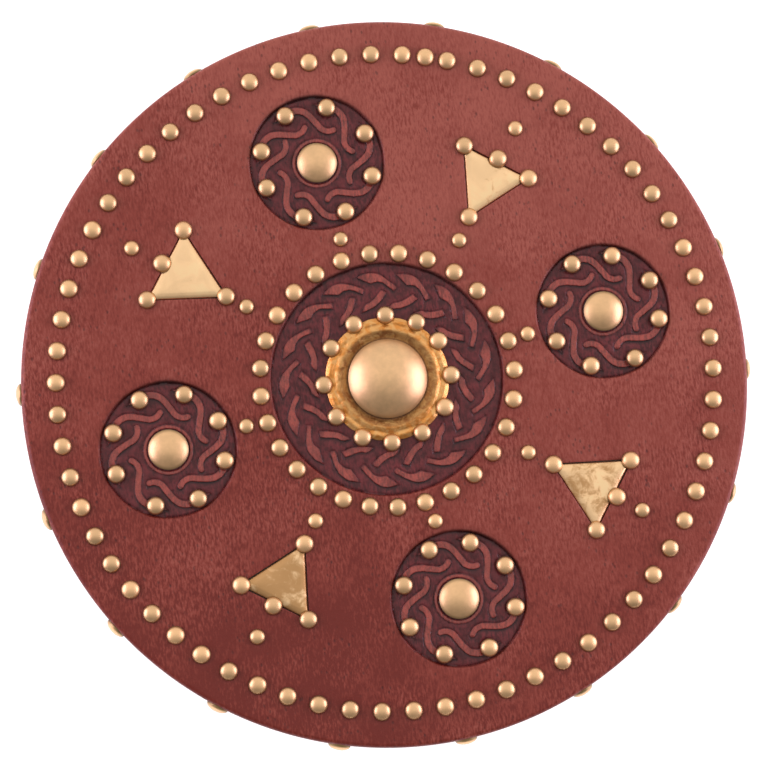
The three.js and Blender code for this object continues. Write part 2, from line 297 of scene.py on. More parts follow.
def ribbon_outline(line, first_half, last_half):
    """The outline of a ribbon with round ends along a line; its half width changes from end to end."""
    along = np.gradient(line, axis=0)
    across = np.stack([-along[:, 1], along[:, 0]], 1) / np.hypot(*along.T)[:, None]
    half = np.linspace(first_half, last_half, len(line))[:, None]
    left, right = line + across * half, line - across * half
    last, first = (end_cap(line[i], side[i] - line[i]) for i, side in ((-1, left), (0, right)))
    return np.vstack([left, last, right[::-1], first])


def end_cap(middle, reach):
    """The points between the two sides of a ribbon, round its end, from the side that is reached."""
    turns = np.radians(np.linspace(0, -180, 8)[1:-1])
    x, y = reach
    return np.array([middle + [x * math.cos(t) - y * math.sin(t), x * math.sin(t) + y * math.cos(t)]
                     for t in turns])


def signed_distance(points, outline):
    """The distance from each point to a closed outline, positive inside it."""
    edge = np.roll(outline, -1, axis=0) - outline
    apart = points[:, None] - outline[None]
    along = ((apart * edge).sum(2) / (edge**2).sum(1)).clip(0, 1)
    distance = np.sqrt(((apart - edge * along[..., None]) ** 2).sum(2).min(1))
    above = outline[:, 1] > points[:, 1, None]
    crossing = above != np.roll(above, -1, axis=1)
    rise = np.where(edge[:, 1] == 0, 1e-12, edge[:, 1])
    meets = outline[:, 0] + (points[:, 1, None] - outline[:, 1]) * edge[:, 0] / rise
    inside = (crossing & (points[:, 0, None] < meets)).sum(1) % 2 == 1
    return np.where(inside, distance, -distance)


def rings_along(outline, levels):
    """Points at each of some distances inside an outline, or outside for the negative ones."""
    outward = outward_of(outline)
    before = np.roll(outward, 1, axis=0)
    rays = []
    for corner, first, last in zip(outline, before, outward):
        bend = math.atan2(first[0] * last[1] - first[1] * last[0], float(first @ last))
        count = 1 + round(abs(bend) / math.radians(35))
        for i in range(count):
            mix = first + (last - first) * ((i + 0.5) / count)
            rays.append((corner, mix / np.hypot(*mix)))
    start, way = (np.array(part) for part in zip(*rays))
    found = []
    for level in levels:
        spots = start - way * level
        found.append(spots[np.abs(signed_distance(spots, outline) - level) < 5e-5])
    return np.vstack(found)


def round_rings(centre, radius, levels, step):
    """Rings of points round a circle, at distances inside it."""
    rings = []
    for level in levels:
        reach = radius - level
        count = max(8, round(2 * math.pi * reach / step))
        angles = np.arange(count) * 2 * math.pi / count
        rings.append(np.array(centre) + reach * np.stack([np.cos(angles), np.sin(angles)], 1))
    return np.vstack(rings)


def lattice(centre, radius, step):
    """A triangular lattice of points inside a circle."""
    half = int(radius / step) + 1
    rows, columns = np.mgrid[-half:half + 1, -half:half + 1].reshape(2, -1)
    spots = np.stack([(columns + 0.5 * (rows % 2)) * step, rows * step * math.sqrt(0.75)], 1)
    return np.array(centre) + spots[np.hypot(*spots.T) < radius]


def thinned(points, cell):
    """The first point in each cell of a grid, so that no two crowd together."""
    _, kept = np.unique(np.floor(points / cell).astype(int), axis=0, return_index=True)
    return points[np.sort(kept)]


def clear_of(points, kept, gap):
    """The points that stay further than the gap from all the kept ones."""
    tree = KDTree(len(kept))
    for i, spot in enumerate(kept):
        tree.insert((*spot, 0), i)
    tree.balance()
    return points[[tree.find((*spot, 0))[2] > gap for spot in points]]


class Carving:
    """The outlines carved in the face, and the height that they give it anywhere."""

    def __init__(self, chance):
        """Draws the outlines. The plait's strands come first, each with the angles of its ends."""
        self.strands = []
        self.dives = []
        for i in range(PLAIT_COUNT):
            for strand in (OUTER_STRAND, INNER_STRAND):
                turn = 360 * i / PLAIT_COUNT + chance.uniform(-STRAND_TURN, STRAND_TURN)
                shift = chance.uniform(-STRAND_SHIFT, STRAND_SHIFT, 2)
                outline = plait_outline(strand, turn) + shift
                self.strands.append(wandering(outline))
                ends = [np.mean([strand[0][end][0], strand[1][-1 - end][0]]) for end in (0, -1)]
                self.dives.append((turn + ends[0], turn + ends[1]))
        for k, centre in enumerate(ROUNDEL_CENTRES):
            for angle, spot in roundel_row(k):
                line = smooth_line(drawn(centre, angle, ROUNDEL_STRAND), OUTLINE_STEP)
                self.strands.append(ribbon_outline(line, *ROUNDEL_STRAND_HALF))
                stub = drawn(centre, angle, NAIL_STUB)
                sides = [straight_line(stub[i - 1], stub[i], OUTLINE_STEP) for i in range(3)]
                self.strands.append(np.vstack(sides))
        self.pads = [spot for k in range(4) for angle, spot in roundel_row(k)]
        self.recesses = [(BOSS_CENTRE, RECESS_RADIUS)]
        self.recesses += [(centre, ROUNDEL_RADIUS) for centre in ROUNDEL_CENTRES]
        self.nails = [*rim_row(), *ring_row(), *(axis_of(node) for node in PLATE_NAILS)]
        self.studs = [axis_of(node) for node in SINGLE_STUDS]

    def height(self, points):
        """(height above the face, depth, cut, strand) at each point, the last three from 0 to 1.

        Depth is 1 on the sunk ground, cut is 1 in the dark grooves, and strand is 1 on the raised
        forms. The grooves are painted dark as burnish and painted shadow; a wall's dark line is painted
        wider and darker on the upper side of its recess, as painted shadow.
        """
        height = np.zeros(len(points))
        cut = np.zeros(len(points))
        strand = np.zeros(len(points))
        inside = np.full(len(points), -1.0)
        far = np.zeros(len(points))
        for centre, radius in self.recesses:
            reach = np.hypot(*(points - centre).T)
            far = np.where(radius - reach > inside, (points - centre)[:, 1] / radius, far)
            inside = np.maximum(inside, radius - reach)
        depth = eased((inside / WALL_WIDTH).clip(0, 1))
        height -= LIP_DROP * bell(inside.clip(None, 0), LIP_WIDTH) * (1 - depth)
        height -= (CARVE_DEPTH + CUT_DEPTH) * depth
        past_wall = (inside - WALL_WIDTH).clip(0, None)
        height += CUT_DEPTH * depth * (1 - bell(past_wall, CUT_WIDTH))
        # Painted shadow: on the upper side of a recess, where its wall stands in shade, the wall's dark
        # line is painted wider and darker.
        upper = far.clip(0, 1)
        wall_burnish_and_shadow = bell(inside - 0.9 * WALL_WIDTH, (0.8 + 1.1 * upper) * CUT_WIDTH)
        cut = np.maximum(cut, wall_burnish_and_shadow * (0.4 + 0.6 * upper))
        ground = height.copy()

        layers = (height, ground, cut, strand)
        for k, outline in enumerate(self.strands):
            dive = self._dive(points, self.dives[k]) if k < len(self.dives) else np.ones(len(points))
            self._raise(points, outline, STRAND_ROUNDING, dive, *layers)
        everywhere = slice(None)
        for centre in self.pads:
            distance = NAIL_PAD_RADIUS - np.hypot(*(points - centre).T)
            self._raise_by(everywhere, distance, STRAND_ROUNDING, 1.0, *layers)
        for centre in ROUNDEL_CENTRES:
            inner, outer = STUD_RING
            reach = np.hypot(*(points - centre).T)
            ring = np.minimum(reach - inner, outer - reach)
            plug = inner - CUT_WIDTH - reach
            self._raise_by(everywhere, ring, 0.5 * (outer - inner), 1.0, *layers)
            self._raise_by(everywhere, plug, CUT_WIDTH, 1.0, *layers)

        for centres, size in ((self.nails, NAIL), (self.studs, SMALL_STUD)):
            for centre in centres:
                reach = np.hypot(*(points - centre).T)
                past = (reach - size[0]).clip(0, None)
                height -= DIMPLE_DEPTH * bell(past, DIMPLE_WIDTH) * (1 - depth)
        return height, depth, cut, strand

    @staticmethod
    def _dive(points, ends):
        """1 along a plait strand, less at its two ends, where it goes under the next strand."""
        angles = np.degrees(np.arctan2(*(points - BOSS_CENTRE).T[::-1]))
        along = (angles - ends[0] + 90) % 360 - 90
        share = (along / (ends[1] - ends[0])).clip(0, 1)
        near = (np.minimum(share, 1 - share) / DIVE_SHARE).clip(0, 1)
        return 1 - DIVE * (1 - near) ** 2

    def _raise(self, points, outline, rounding, dive, *layers):
        """Raises one strand, working only on the points near it.

        The lee of a strand is its lower side, and is found by moving the points up a little.
        """
        margin = 4 * CUT_WIDTH
        near = ((points > outline.min(0) - margin) & (points < outline.max(0) + margin)).all(1)
        rows = np.flatnonzero(near)
        if len(rows):
            distance = signed_distance(points[rows], outline)
            shifted = signed_distance(points[rows] + [0, SIDE_PROBE], outline)
            lee = ((shifted - distance) / SIDE_PROBE).clip(0, 1)
            self._raise_by(rows, distance, rounding, dive[rows], *layers, lee)

    @staticmethod
    def _raise_by(rows, distance, rounding, dive, height, ground, cut, strand, lee=0.3):
        """Raises the points inside a form to the face, and cuts a groove round its foot.

        The groove is deeper and wider in the lee of the form. Its dark line is burnish all round and
        painted shadow in the lee, where it is painted darker.
        """
        share = (distance / rounding).clip(0, 1)
        swell = dive * np.sqrt(1 - (1 - share) ** 2)
        width = CUT_WIDTH * (0.75 + 1.25 * lee)
        groove = bell(distance.clip(None, 0), width)
        sunk = ground[rows] - CUT_DEPTH * (0.7 + 0.6 * lee) * groove
        raised = np.where(distance > 0, sunk * (1 - swell), np.minimum(height[rows], sunk))
        height[rows] = np.where(distance > 0, np.maximum(height[rows], raised), raised)
        # The dark line at the foot: some burnish all round, and painted shadow in the lee.
        foot = (0.3 + 0.7 * lee) * bell(distance + 0.25 * CUT_WIDTH, 0.8 * width)
        cut[rows] = np.where(distance > 0, np.minimum(cut[rows], foot), np.maximum(cut[rows], foot))
        strand[rows] = np.maximum(strand[rows], dive * (distance / CUT_WIDTH).clip(0, 1))


# Meshes


def link(name, mesh, finish, body="root"):
    """Makes an object of a mesh, gives it its finish and lets it ride on a body."""
    mesh.materials.append(finish)
    piece = bpy.data.objects.new(name, mesh)
    bpy.context.scene.collection.objects.link(piece)
    if body:
        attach(piece, body)
    return piece


def dress(name, mesh, finish, node):
    """Makes the piece that stands in the place of a node, gives it its finish and hides the node."""
    piece = link(name, mesh, finish)
    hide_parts(node)


def mesh_of(name, vertices, faces, crease=35):
    """A smooth-shaded mesh with hard edges where faces meet at more than the crease angle."""
    mesh = bpy.data.meshes.new(name)
    mesh.from_pydata([tuple(v) for v in vertices], [], [tuple(f) for f in faces])
    mesh.validate()
    mesh.shade_smooth()
    mesh.set_sharp_from_angle(angle=math.radians(crease))
    return mesh


def store(mesh, name, values):
    """Keeps a value for each vertex, for the finish to read."""
    mesh.attributes.new(name, "FLOAT", "POINT").data.foreach_set("value", np.array(values, np.float32))


def turned_mesh(profile, steps):
    """(vertices, faces) of a profile of (radius, height) turned about Z; radius 0 closes it."""
    vertices = []
    rings = []
    for radius, height in profile:
        if radius == 0:
            rings.append([len(vertices)] * steps)
            vertices.append((0.0, 0.0, height))
            continue
        rings.append(list(range(len(vertices), len(vertices) + steps)))
        for i in range(steps):
            angle = 2 * math.pi * i / steps
            vertices.append((radius * math.cos(angle), radius * math.sin(angle), height))
    faces = []
    for low, high in zip(rings, rings[1:]):
        for i in range(steps):
            j = (i + 1) % steps
            face = [low[i], low[j], high[j], high[i]]
            faces.append([v for n, v in enumerate(face) if v not in face[:n]])
    return np.array(vertices), [face for face in faces if len(face) > 2]


def ring_faces(rings, count):
    """The faces that join each of some rings, of so many points, to the next."""
    faces = []
    for k in range(rings - 1):
        for i in range(count):
            j = (i + 1) % count
            faces.append((k * count + i, k * count + j, (k + 1) * count + j, (k + 1) * count + i))
    return faces


def arc(cx, cz, radius, first, last, steps):
    """(radius, height) points on an arc, from one angle to another."""
    angles = np.radians(np.linspace(first, last, steps + 1))
    return [(cx + radius * math.cos(a), cz + radius * math.sin(a)) for a in angles]


def joined(parts):
    """One (vertices, faces) from several."""
    vertices, faces = [], []
    start = 0
    for spots, own in parts:
        vertices.append(spots)
        faces += [[v + start for v in face] for face in own]
        start += len(spots)
    return np.vstack(vertices), faces


# The hide


def window_outlines(slack):
    """The hand-cut windows of the plates, each a triangle a little larger than its plate."""
    outlines = []
    for plate, extra in zip(PLATES, slack):
        corners = foot_corners(plate)
        middle = sum(corners) / 3
        cut = [c + (c - middle) / np.hypot(*(c - middle)) * s for c, s in zip(corners, extra)]
        sides = [straight_line(cut[i], cut[(i + 1) % 3], RING_STEP) for i in range(3)]
        outlines.append(np.vstack(sides))
    return outlines


# How far each corner of a window is cut beyond its plate's
WINDOW_SLACK = [(0.0012, 0.0012, 0.0018), (0.0009, 0.0022, 0.0011), (0.0022, 0.0012, 0.0016),
                (0.0012, 0.0024, 0.0013)]


def face_points(carving, windows):
    """The points of the hide's face, closest together where it is carved."""
    rim = round_rings((0, 0), FACE_RADIUS, [0], 2 * math.pi * FACE_RADIUS / RIM_STEPS)
    fixed = np.vstack([rim, *windows])
    carved = np.vstack([rings_along(outline, STRAND_LEVELS) for outline in carving.strands])
    walls = [round_rings(c, r, WALL_LEVELS, RING_STEP) for c, r in carving.recesses]
    rings = [round_rings(c, r, STRAND_LEVELS, OUTLINE_STEP) for c in ROUNDEL_CENTRES for r in STUD_RING]
    edges = [rings_along(outline, WINDOW_LEVELS) for outline in windows]
    dimples = [round_rings(c, size[0], DIMPLE_LEVELS, PLAIN_STEP)
               for centres, size in ((carving.nails, NAIL), (carving.studs, SMALL_STUD)) for c in centres]
    pads = [round_rings(c, NAIL_PAD_RADIUS, PAD_LEVELS, RING_STEP) for c in carving.pads]

    points = fixed
    fine = np.vstack([*walls, *rings, carved, *edges])
    points = np.vstack([points, clear_of(thinned(fine, 0.0004), points, 0.0003)])
    for group, gap in ((np.vstack(pads), 0.0006), (np.vstack(dimples), 0.001)):
        points = np.vstack([points, clear_of(group, points, gap)])
    for centre, radius in carving.recesses:
        inside = lattice(centre, radius, CARVED_STEP)
        points = np.vstack([points, clear_of(inside, points, 0.65 * CARVED_STEP)])
    plain = lattice((0, 0), FACE_RADIUS, PLAIN_STEP)
    points = np.vstack([points, clear_of(plain, points, 0.6 * PLAIN_STEP)])
    inside = np.hypot(*points.T) < FACE_RADIUS - 0.0002
    for outline in windows:
        inside &= signed_distance(points, outline) < -0.0001
    inside[:len(fixed)] = True
    return points[inside]


def loops_of(windows):
    """The vertex numbers of the rim and of each window, which come first in the face."""
    loops = [list(range(RIM_STEPS))]
    for outline in windows:
        start = loops[-1][-1] + 1
        loops.append(list(range(start, start + len(outline))))
    return loops


def filled(points, loops, windows):
    """The triangles between the rim and the windows, facing up."""
    edges = [(loop[i - 1], loop[i]) for loop in loops for i in range(len(loop))]
    made = delaunay_2d_cdt([Vector(p) for p in points], edges, [], 0, 1e-7)
    if len(made[0]) != len(points):
        raise RuntimeError("the hide's points run into each other")
    faces = np.array([face for face in made[2] if len(face) == 3])
    middles = points[faces].mean(1)
    keep = np.ones(len(faces), bool)
    for outline in windows:
        keep &= signed_distance(middles, outline) < 0
    return faces[keep]


def edge_profile():
    """(radius, height) from the face's rim round the edge and the hem to the hide's underside."""
    outer = SHIELD_RADIUS - BACK_ROUNDING
    hem_inner = SHIELD_RADIUS - HEM_WIDTH
    back_bend = HEM_Z + BACK_ROUNDING
    front = arc(FACE_RADIUS, BOARD_TOP_Z, LEATHER, 90, 0, 8)[1:]
    side = [(SHIELD_RADIUS, z) for z in np.linspace(BOARD_TOP_Z, back_bend, 7)[1:]]
    back = arc(outer, back_bend, BACK_ROUNDING, 0, -90, 5)[1:]
    hem = [(r, HEM_Z) for r in np.linspace(outer, hem_inner + 0.0008, 10)[1:]]
    turn = [(hem_inner + 0.0002, HEM_Z + 0.0004), (hem_inner, HEM_Z + 0.0012), (hem_inner, BACK_Z)]
    inside = [(FACE_RADIUS, BACK_Z), (FACE_RADIUS, BOARD_TOP_Z)]
    return front + side + back + hem + turn + inside


def soft(*place, size):
    """Smooth noise of a feature size, from about -1 to 1."""
    return noise.noise(Vector(place) / size)


def hem_shape(vertices):
    """Gathers the hem in shallow radial pleats, and cuts its inner edge a little unevenly."""
    moved = vertices.copy()
    for i, (x, y, z) in enumerate(vertices):
        reach = math.hypot(x, y)
        if z > BACK_Z - 0.0002 or reach > SHIELD_RADIUS - BACK_ROUNDING:
            continue
        angle = math.atan2(y, x)
        inward = (SHIELD_RADIUS - BACK_ROUNDING - reach) / HEM_WIDTH
        pleat = soft(20 * math.cos(angle), 20 * math.sin(angle), reach * 20, size=0.55)
        low = z - HEM_Z
        moved[i, 2] = z + inward * PLEAT * (0.5 + pleat) * (1 - low / (BACK_Z - HEM_Z))
        wander = HEM_WANDER * soft(4 * math.cos(angle), 4 * math.sin(angle), 3, size=0.7) * inward
        moved[i, :2] *= (reach + wander) / reach
    return moved


def hide_mesh():
    """The whole tooled hide: carved face, windows, edge, hem and underside, as one closed body."""
    carving = Carving(np.random.default_rng(17))
    windows = window_outlines(WINDOW_SLACK)
    points = face_points(carving, windows)
    loops = loops_of(windows)
    top = filled(points, loops, windows)
    height, depth, cut, strand = carving.height(points)
    for outline in windows:
        near = signed_distance(points, outline)
        height -= WINDOW_DROP * bell(near, WINDOW_DROP_WIDTH)
    lively = ((FACE_RADIUS - np.hypot(*points.T)) / CALM_WIDTH).clip(0, 1)
    for i, (x, y) in enumerate(points):
        height[i] += FACE_SWELL[0] * lively[i] * soft(x, y, 0.3, size=FACE_SWELL[1])
        height[i] += depth[i] * GROUND_TOOLING[0] * soft(x, y, 0.1, size=GROUND_TOOLING[1])
    face = np.column_stack([points, FACE_Z + height])
    face[:RIM_STEPS, 2] = FACE_Z

    edge = [np.column_stack([points[:RIM_STEPS] * (r / FACE_RADIUS), np.full(RIM_STEPS, z)])
            for r, z in edge_profile()]
    rings = [list(range(RIM_STEPS))]
    for i in range(len(edge)):
        rings.append(list(range(len(face) + i * RIM_STEPS, len(face) + (i + 1) * RIM_STEPS)))
    vertices = np.vstack([face, hem_shape(np.vstack(edge))])
    faces = [tuple(f) for f in top]
    for inner, outer in zip(rings, rings[1:]):
        faces += [(inner[i - 1], outer[i - 1], outer[i], inner[i]) for i in range(RIM_STEPS)]

    fixed = [v for loop in loops[1:] for v in loop]
    low_number = dict(zip(loops[0], rings[-1]))
    low_number.update({v: len(vertices) + i for i, v in enumerate(fixed)})
    floor = np.column_stack([points[fixed], np.full(len(fixed), BOARD_TOP_Z)])
    vertices = np.vstack([vertices, floor])
    under = filled(points[:len(low_number)], loops, windows)
    faces += [tuple(low_number[v] for v in reversed(f)) for f in under.tolist()]
    for loop in loops[1:]:
        for i in range(len(loop)):
            a, b = loop[i - 1], loop[i]
            faces.append((b, a, low_number[a], low_number[b]))

    mesh = mesh_of("tooled_hide", vertices, faces, 60)
    spare = np.zeros(len(vertices) - len(points))
    # The cut values hold the dark grooves: burnish, and painted shadow on their shaded sides.
    for name, values in (("depth", depth), ("cut", cut), ("strand", strand)):
        store(mesh, name, np.concatenate([values, spare]))
    return mesh


# Nails


def head_profile(radius, height, bed, rings=9):
    """A pressed dome with its rim turned under and bedded in what it holds."""
    slopes = np.radians(np.linspace(8, 84, rings))
    dome = [(radius * math.cos(slope), height * math.sin(slope)) for slope in slopes]
    under = [(0, -bed), (0.86 * radius, -bed), (0.96 * radius, -0.6 * bed)]
    return [*under, (radius, 0.02 * height), *dome, (0, height)]


def head(radius, height, bed, steps, chance):
    """(vertices, faces) of a nail head, tilted and squeezed a little as a driven one is."""
    vertices, faces = turned_mesh(head_profile(radius, height, bed), steps)
    vertices[:, 0] *= chance.uniform(*NAIL_SQUEEZE)
    vertices[:, 1] *= chance.uniform(*NAIL_SQUEEZE)
    vertices[:, 2] += vertices[:, :2] @ chance.normal(0, NAIL_LEAN, 2)
    return vertices, faces


def rim_share(vertices, height):
    """1 at the foot of a head and 0 at its crown."""
    return (1 - vertices[:, 2] / height).clip(0, 1)


def nail_group(name, places, size, bed, settings, chance):
    """One mesh of like nails. A place is the (x, y, z) of a foot and the nail's own three axes."""
    parts, low, tones = [], [], []
    for spot, axes in places:
        vertices, faces = head(*size, bed, settings.nail_steps, chance)
        low.append(rim_share(vertices, size[1]))
        tones += [chance.uniform(0, 1)] * len(vertices)
        parts.append((vertices @ axes + np.array(spot), faces))
    vertices, faces = joined(parts)
    mesh = mesh_of(name, vertices, faces, 50)
    # low darkens each head towards its foot in the finish: painted shade with tarnish.
    store(mesh, "low", np.concatenate(low))
    store(mesh, "tone", tones)
    return mesh


def loose_nail(node, size, settings, chance):
    """Makes the nail that stands in the place of one node."""
    foot = (*axis_of(node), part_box(node)[0].z)
    name = f"brass_{node}"
    mesh = nail_group(name, [(foot, UPRIGHT)], size, NAIL_BED, settings, chance)
    dress(name, mesh, brass_finish(settings), node)


# Finishes


class Wire:
    """A value that runs between nodes. Sums of wires and numbers add the nodes that they need."""

    def __init__(self, finish, node, output=0):
        self.finish = finish
        self.made = node
        self.socket = node.outputs[output]

    def beside(self, output):
        """Another output of the same node."""
        return Wire(self.finish, self.made, output)

    def maths(self, operation, *values):
        """The result of a Math node."""
        return self.finish.node("ShaderNodeMath", {"operation": operation}, dict(enumerate(values)))

    def __add__(self, other):
        return self.maths("ADD", self, other)

    __radd__ = __add__

    def __sub__(self, other):
        return self.maths("SUBTRACT", self, other)

    def __rsub__(self, other):
        return self.maths("SUBTRACT", other, self)

    def __mul__(self, other):
        return self.maths("MULTIPLY", self, other)

    __rmul__ = __mul__

    def __truediv__(self, other):
        return self.maths("DIVIDE", self, other)

    def clamped(self):
        """The value held between 0 and 1."""
        return self.maths("MINIMUM", self.maths("MAXIMUM", self, 0.0), 1.0)

    def band(self, low, high):
        """0 below one value, 1 above another, and a smooth step between."""
        settings = {"interpolation_type": "SMOOTHSTEP"}
        return self.finish.node("ShaderNodeMapRange", settings, {0: self, 1: low, 2: high})


class Bench:
    """A place where nodes are put together."""

    MIX_FACTOR, MIX_A, MIX_B, MIX_RESULT = 0, 6, 7, 2

    def __init__(self, holder, shader):
        holder.use_nodes = True
        self.holder = holder
        self.tree = holder.node_tree
        self.shader = next(n for n in self.tree.nodes if n.type == shader)

    def node(self, kind, settings=None, inputs=None, output=0):
        """Adds a node, sets its settings first and then its sockets, and gives one output."""
        made = self.tree.nodes.new(kind)
        for key, value in (settings or {}).items():
            if key == "stops":
                self._set_stops(made.color_ramp, value)
            else:
                setattr(made, key, value)
        self.fill(made, inputs or {})
        return Wire(self, made, output)

    def fill(self, made, inputs):
        """Sets or links the sockets of a node."""
        for key, value in inputs.items():
            if isinstance(value, Wire):
                self.tree.links.new(value.socket, made.inputs[key])
            else:
                made.inputs[key].default_value = value

    @staticmethod
    def _set_stops(ramp, stops):
        while len(ramp.elements) < len(stops):
            ramp.elements.new(1)
        for element, (position, colour) in zip(ramp.elements, stops):
            element.position = position
            element.color = colour

    def done(self, **sockets):
        """Fills the shader, whose sockets are named with _ for a space, and gives what it is for."""
        self.fill(self.shader, {key.replace("_", " "): value for key, value in sockets.items()})
        return self.holder


class Finish(Bench):
    """A material in the making."""

    def __init__(self, name):
        super().__init__(bpy.data.materials.new(name), "BSDF_PRINCIPLED")

    def place(self):
        """The place of a point in the object's own frame."""
        return self.node("ShaderNodeTexCoord", output="Object")

    def kept(self, name):
        """A value that the mesh keeps."""
        return self.node("ShaderNodeAttribute", {"attribute_name": name}, output="Fac")

    def noise(self, place, size, detail=3, roughness=0.5, distortion=0.0):
        """Smooth noise of a feature size in metres, from 0 to 1."""
        inputs = {"Vector": place, "Scale": 1 / size, "Detail": detail, "Roughness": roughness,
                  "Distortion": distortion}
        return self.node("ShaderNodeTexNoise", None, inputs)

    def cells(self, place, size, feature="F1"):
        """The distance to the middle, or to the edge, of rounded cells of a size in metres."""
        inputs = {"Vector": place, "Scale": 1 / size}
        return self.node("ShaderNodeTexVoronoi", {"feature": feature}, inputs, "Distance")

    def stretched(self, place, turn, length):
        """The place, for a pattern drawn out in a direction turned by some degrees from X."""
        inputs = {"Vector": place, "Rotation": (0, 0, math.radians(turn)), "Scale": (length, 1, 1)}
        return self.node("ShaderNodeMapping", {"vector_type": "TEXTURE"}, inputs)

    def ramp(self, value, stops):
        """A colour for each value."""
        full = [(position, (*colour, 1)) for position, colour in stops]
        return self.node("ShaderNodeValToRGB", {"stops": full}, {"Fac": value})

    def mix(self, factor, first, second, blend="MIX"):
        """A mix of two colours, each a wire or three numbers."""
        first, second = (c if isinstance(c, Wire) else (*c, 1) for c in (first, second))
        inputs = {self.MIX_FACTOR: factor, self.MIX_A: first, self.MIX_B: second}
        settings = {"data_type": "RGBA", "blend_type": blend, "clamp_factor": True}
        return self.node("ShaderNodeMix", settings, inputs, self.MIX_RESULT)

    def bump(self, height, depth, under=None):
        """A normal with relief of a depth in metres."""
        inputs = {"Height": height, "Distance": depth, "Strength": 1.0}
        if under is not None:
            inputs["Normal"] = under
        return self.node("ShaderNodeBump", None, inputs)


def made_once(build):
    """Keeps the material that a function makes, so that pieces share it."""
    kept = {}

    def give(settings):
        if build.__name__ not in kept:
            kept[build.__name__] = build(settings)
        return kept[build.__name__]

    return give


def shaded(colour, *shares):
    """A colour multiplied by one share, or by one for each of its parts."""
    shares = shares * 3 if len(shares) == 1 else shares
    return tuple(share * part for share, part in zip(shares, colour))


@made_once
def hide_finish(settings):
    """Dyed, waxed cowhide: mottled, dark in the sunk ground, redder on strands, cuts dark with burnish
    and painted shadow.
    """
    finish = Finish("tooled_hide")
    place = finish.place()
    east = finish.node("ShaderNodeSeparateXYZ", None, {"Vector": place})
    north = east.beside("Y")
    depth = finish.kept("depth")
    cut = finish.kept("cut")
    strand = finish.kept("strand")

    blotch = finish.noise(place, 0.09, 4, 0.6, 0.4)
    cloud = finish.noise(place, 0.028, 4, 0.6)
    streak = finish.noise(finish.stretched(place, 78, 4), 0.004, 4, 0.65)
    grain = finish.noise(place, 0.0042, 4, 0.85)
    hair = finish.noise(finish.stretched(place, 97, 3), 0.0015, 3, 0.6).band(0.3, 0.7)
    hair = 0.5 + (hair - 0.5) * (0.45 + 0.6 * finish.noise(place, 0.045, 3).band(0.38, 0.62))
    # Painted light: the face is painted lighter towards the top, as light falling from above, together
    # with some lighter dye there.
    slope = (0.35 * east + 0.94 * north) / (2 * SHIELD_RADIUS)
    dye = 0.36 * blotch + 0.22 * cloud + 0.2 * streak + 0.08 * grain + 0.28 * hair - 0.075
    dye = dye + settings.top_light_and_dye_slope * slope

    face = tuple(settings.face_colour)
    colour = finish.ramp(dye, [
        (0.34, shaded(face, 0.62, 0.36, 0.3)),
        (0.47, shaded(face, 0.96, 0.84, 0.78)),
        (0.56, shaded(face, 1.14, 1.3, 1.32)),
        (0.68, shaded(face, 1.4, 1.85, 1.9)),
    ])
    mottle = (0.6 * finish.noise(place, 0.007, 3, 0.6) + 0.15 * grain + 0.25 * hair).band(0.34, 0.68)
    low_dye, top_dye = settings.ground_colour, settings.strand_colour
    ground = finish.mix(mottle, shaded(low_dye, 0.62), shaded(low_dye, 1.6))
    rubbed = (0.4 * streak + 0.3 * grain + 0.3 * hair).band(0.32, 0.68)
    top = finish.mix(rubbed, shaded(top_dye, 0.68), shaded(top_dye, 1.36))
    sunk = finish.mix(strand.band(0.0, 1.0), ground, top)
    colour = finish.mix(depth, colour, sunk)
    # Burnish and painted shadow: the cut mask darkens the grooves, and paints shadow on their shaded
    # sides.
    stained = cut * (0.62 + 0.35 * cloud.band(0.4, 0.6))
    colour = finish.mix(stained, colour, tuple(settings.cut_and_shadow_colour))

    pore = 1 - finish.cells(finish.stretched(place, 100, 1.7), 0.0034).band(0.12, 0.3)
    pore = pore * finish.noise(place, 0.014, 2).band(0.47, 0.62)
    colour = finish.mix(0.45 * pore, colour, tuple(settings.cut_and_shadow_colour))

    pebble = finish.cells(place, 0.0016).band(0.0, 0.7)
    relief = 0.3 * grain + 0.35 * hair + 0.2 * pebble + 0.25 * finish.noise(place, 0.006, 3) - 0.4 * pore
    normal = finish.bump(relief, settings.grain_depth)
    rough = settings.roughness + 0.2 * (grain - 0.5) - 0.1 * depth - 0.05 * strand
    return finish.done(Base_Color=colour, Roughness=rough, Normal=normal,
                       Specular_IOR_Level=settings.gloss, Coat_Weight=0.5 * strand * depth,
                       Coat_Roughness=0.2)


@made_once
def brass_finish(settings):
    """Lacquered brass gone a little dull: warm, satin, and painted darker and greener at the foot, as
    tarnish and painted shade.
    """
    finish = Finish("satin_brass")
    place = finish.place()
    low = finish.kept("low")
    tone = finish.kept("tone")
    cloud = finish.noise(place, 0.006, 3, 0.6)
    fine = finish.noise(place, 0.0012, 2, 0.6)
    metal = tuple(settings.brass_colour)
    warm = (0.6 * cloud + 0.4 * tone).band(0.3, 0.75)
    colour = finish.mix(warm, shaded(metal, 0.88), shaded(metal, 1.08))
    # Painted shade with tarnish: each head is painted darker towards its foot, where shade falls under
    # it.
    tarnish_and_shade = ((low - 0.4) * 2.1 + 0.5 * (cloud - 0.5)).clamped()
    colour = finish.mix(0.85 * tarnish_and_shade, colour, tuple(settings.tarnish_and_shade_colour))
    rough = settings.brass_roughness + 0.1 * (cloud - 0.5) + 0.08 * tarnish_and_shade + 0.08 * (tone - 0.5)
    normal = finish.bump(fine, 0.00004)
    return finish.done(Base_Color=colour, Metallic=1.0, Roughness=rough, Normal=normal, Coat_Weight=0.5,
                       Coat_Roughness=0.35)


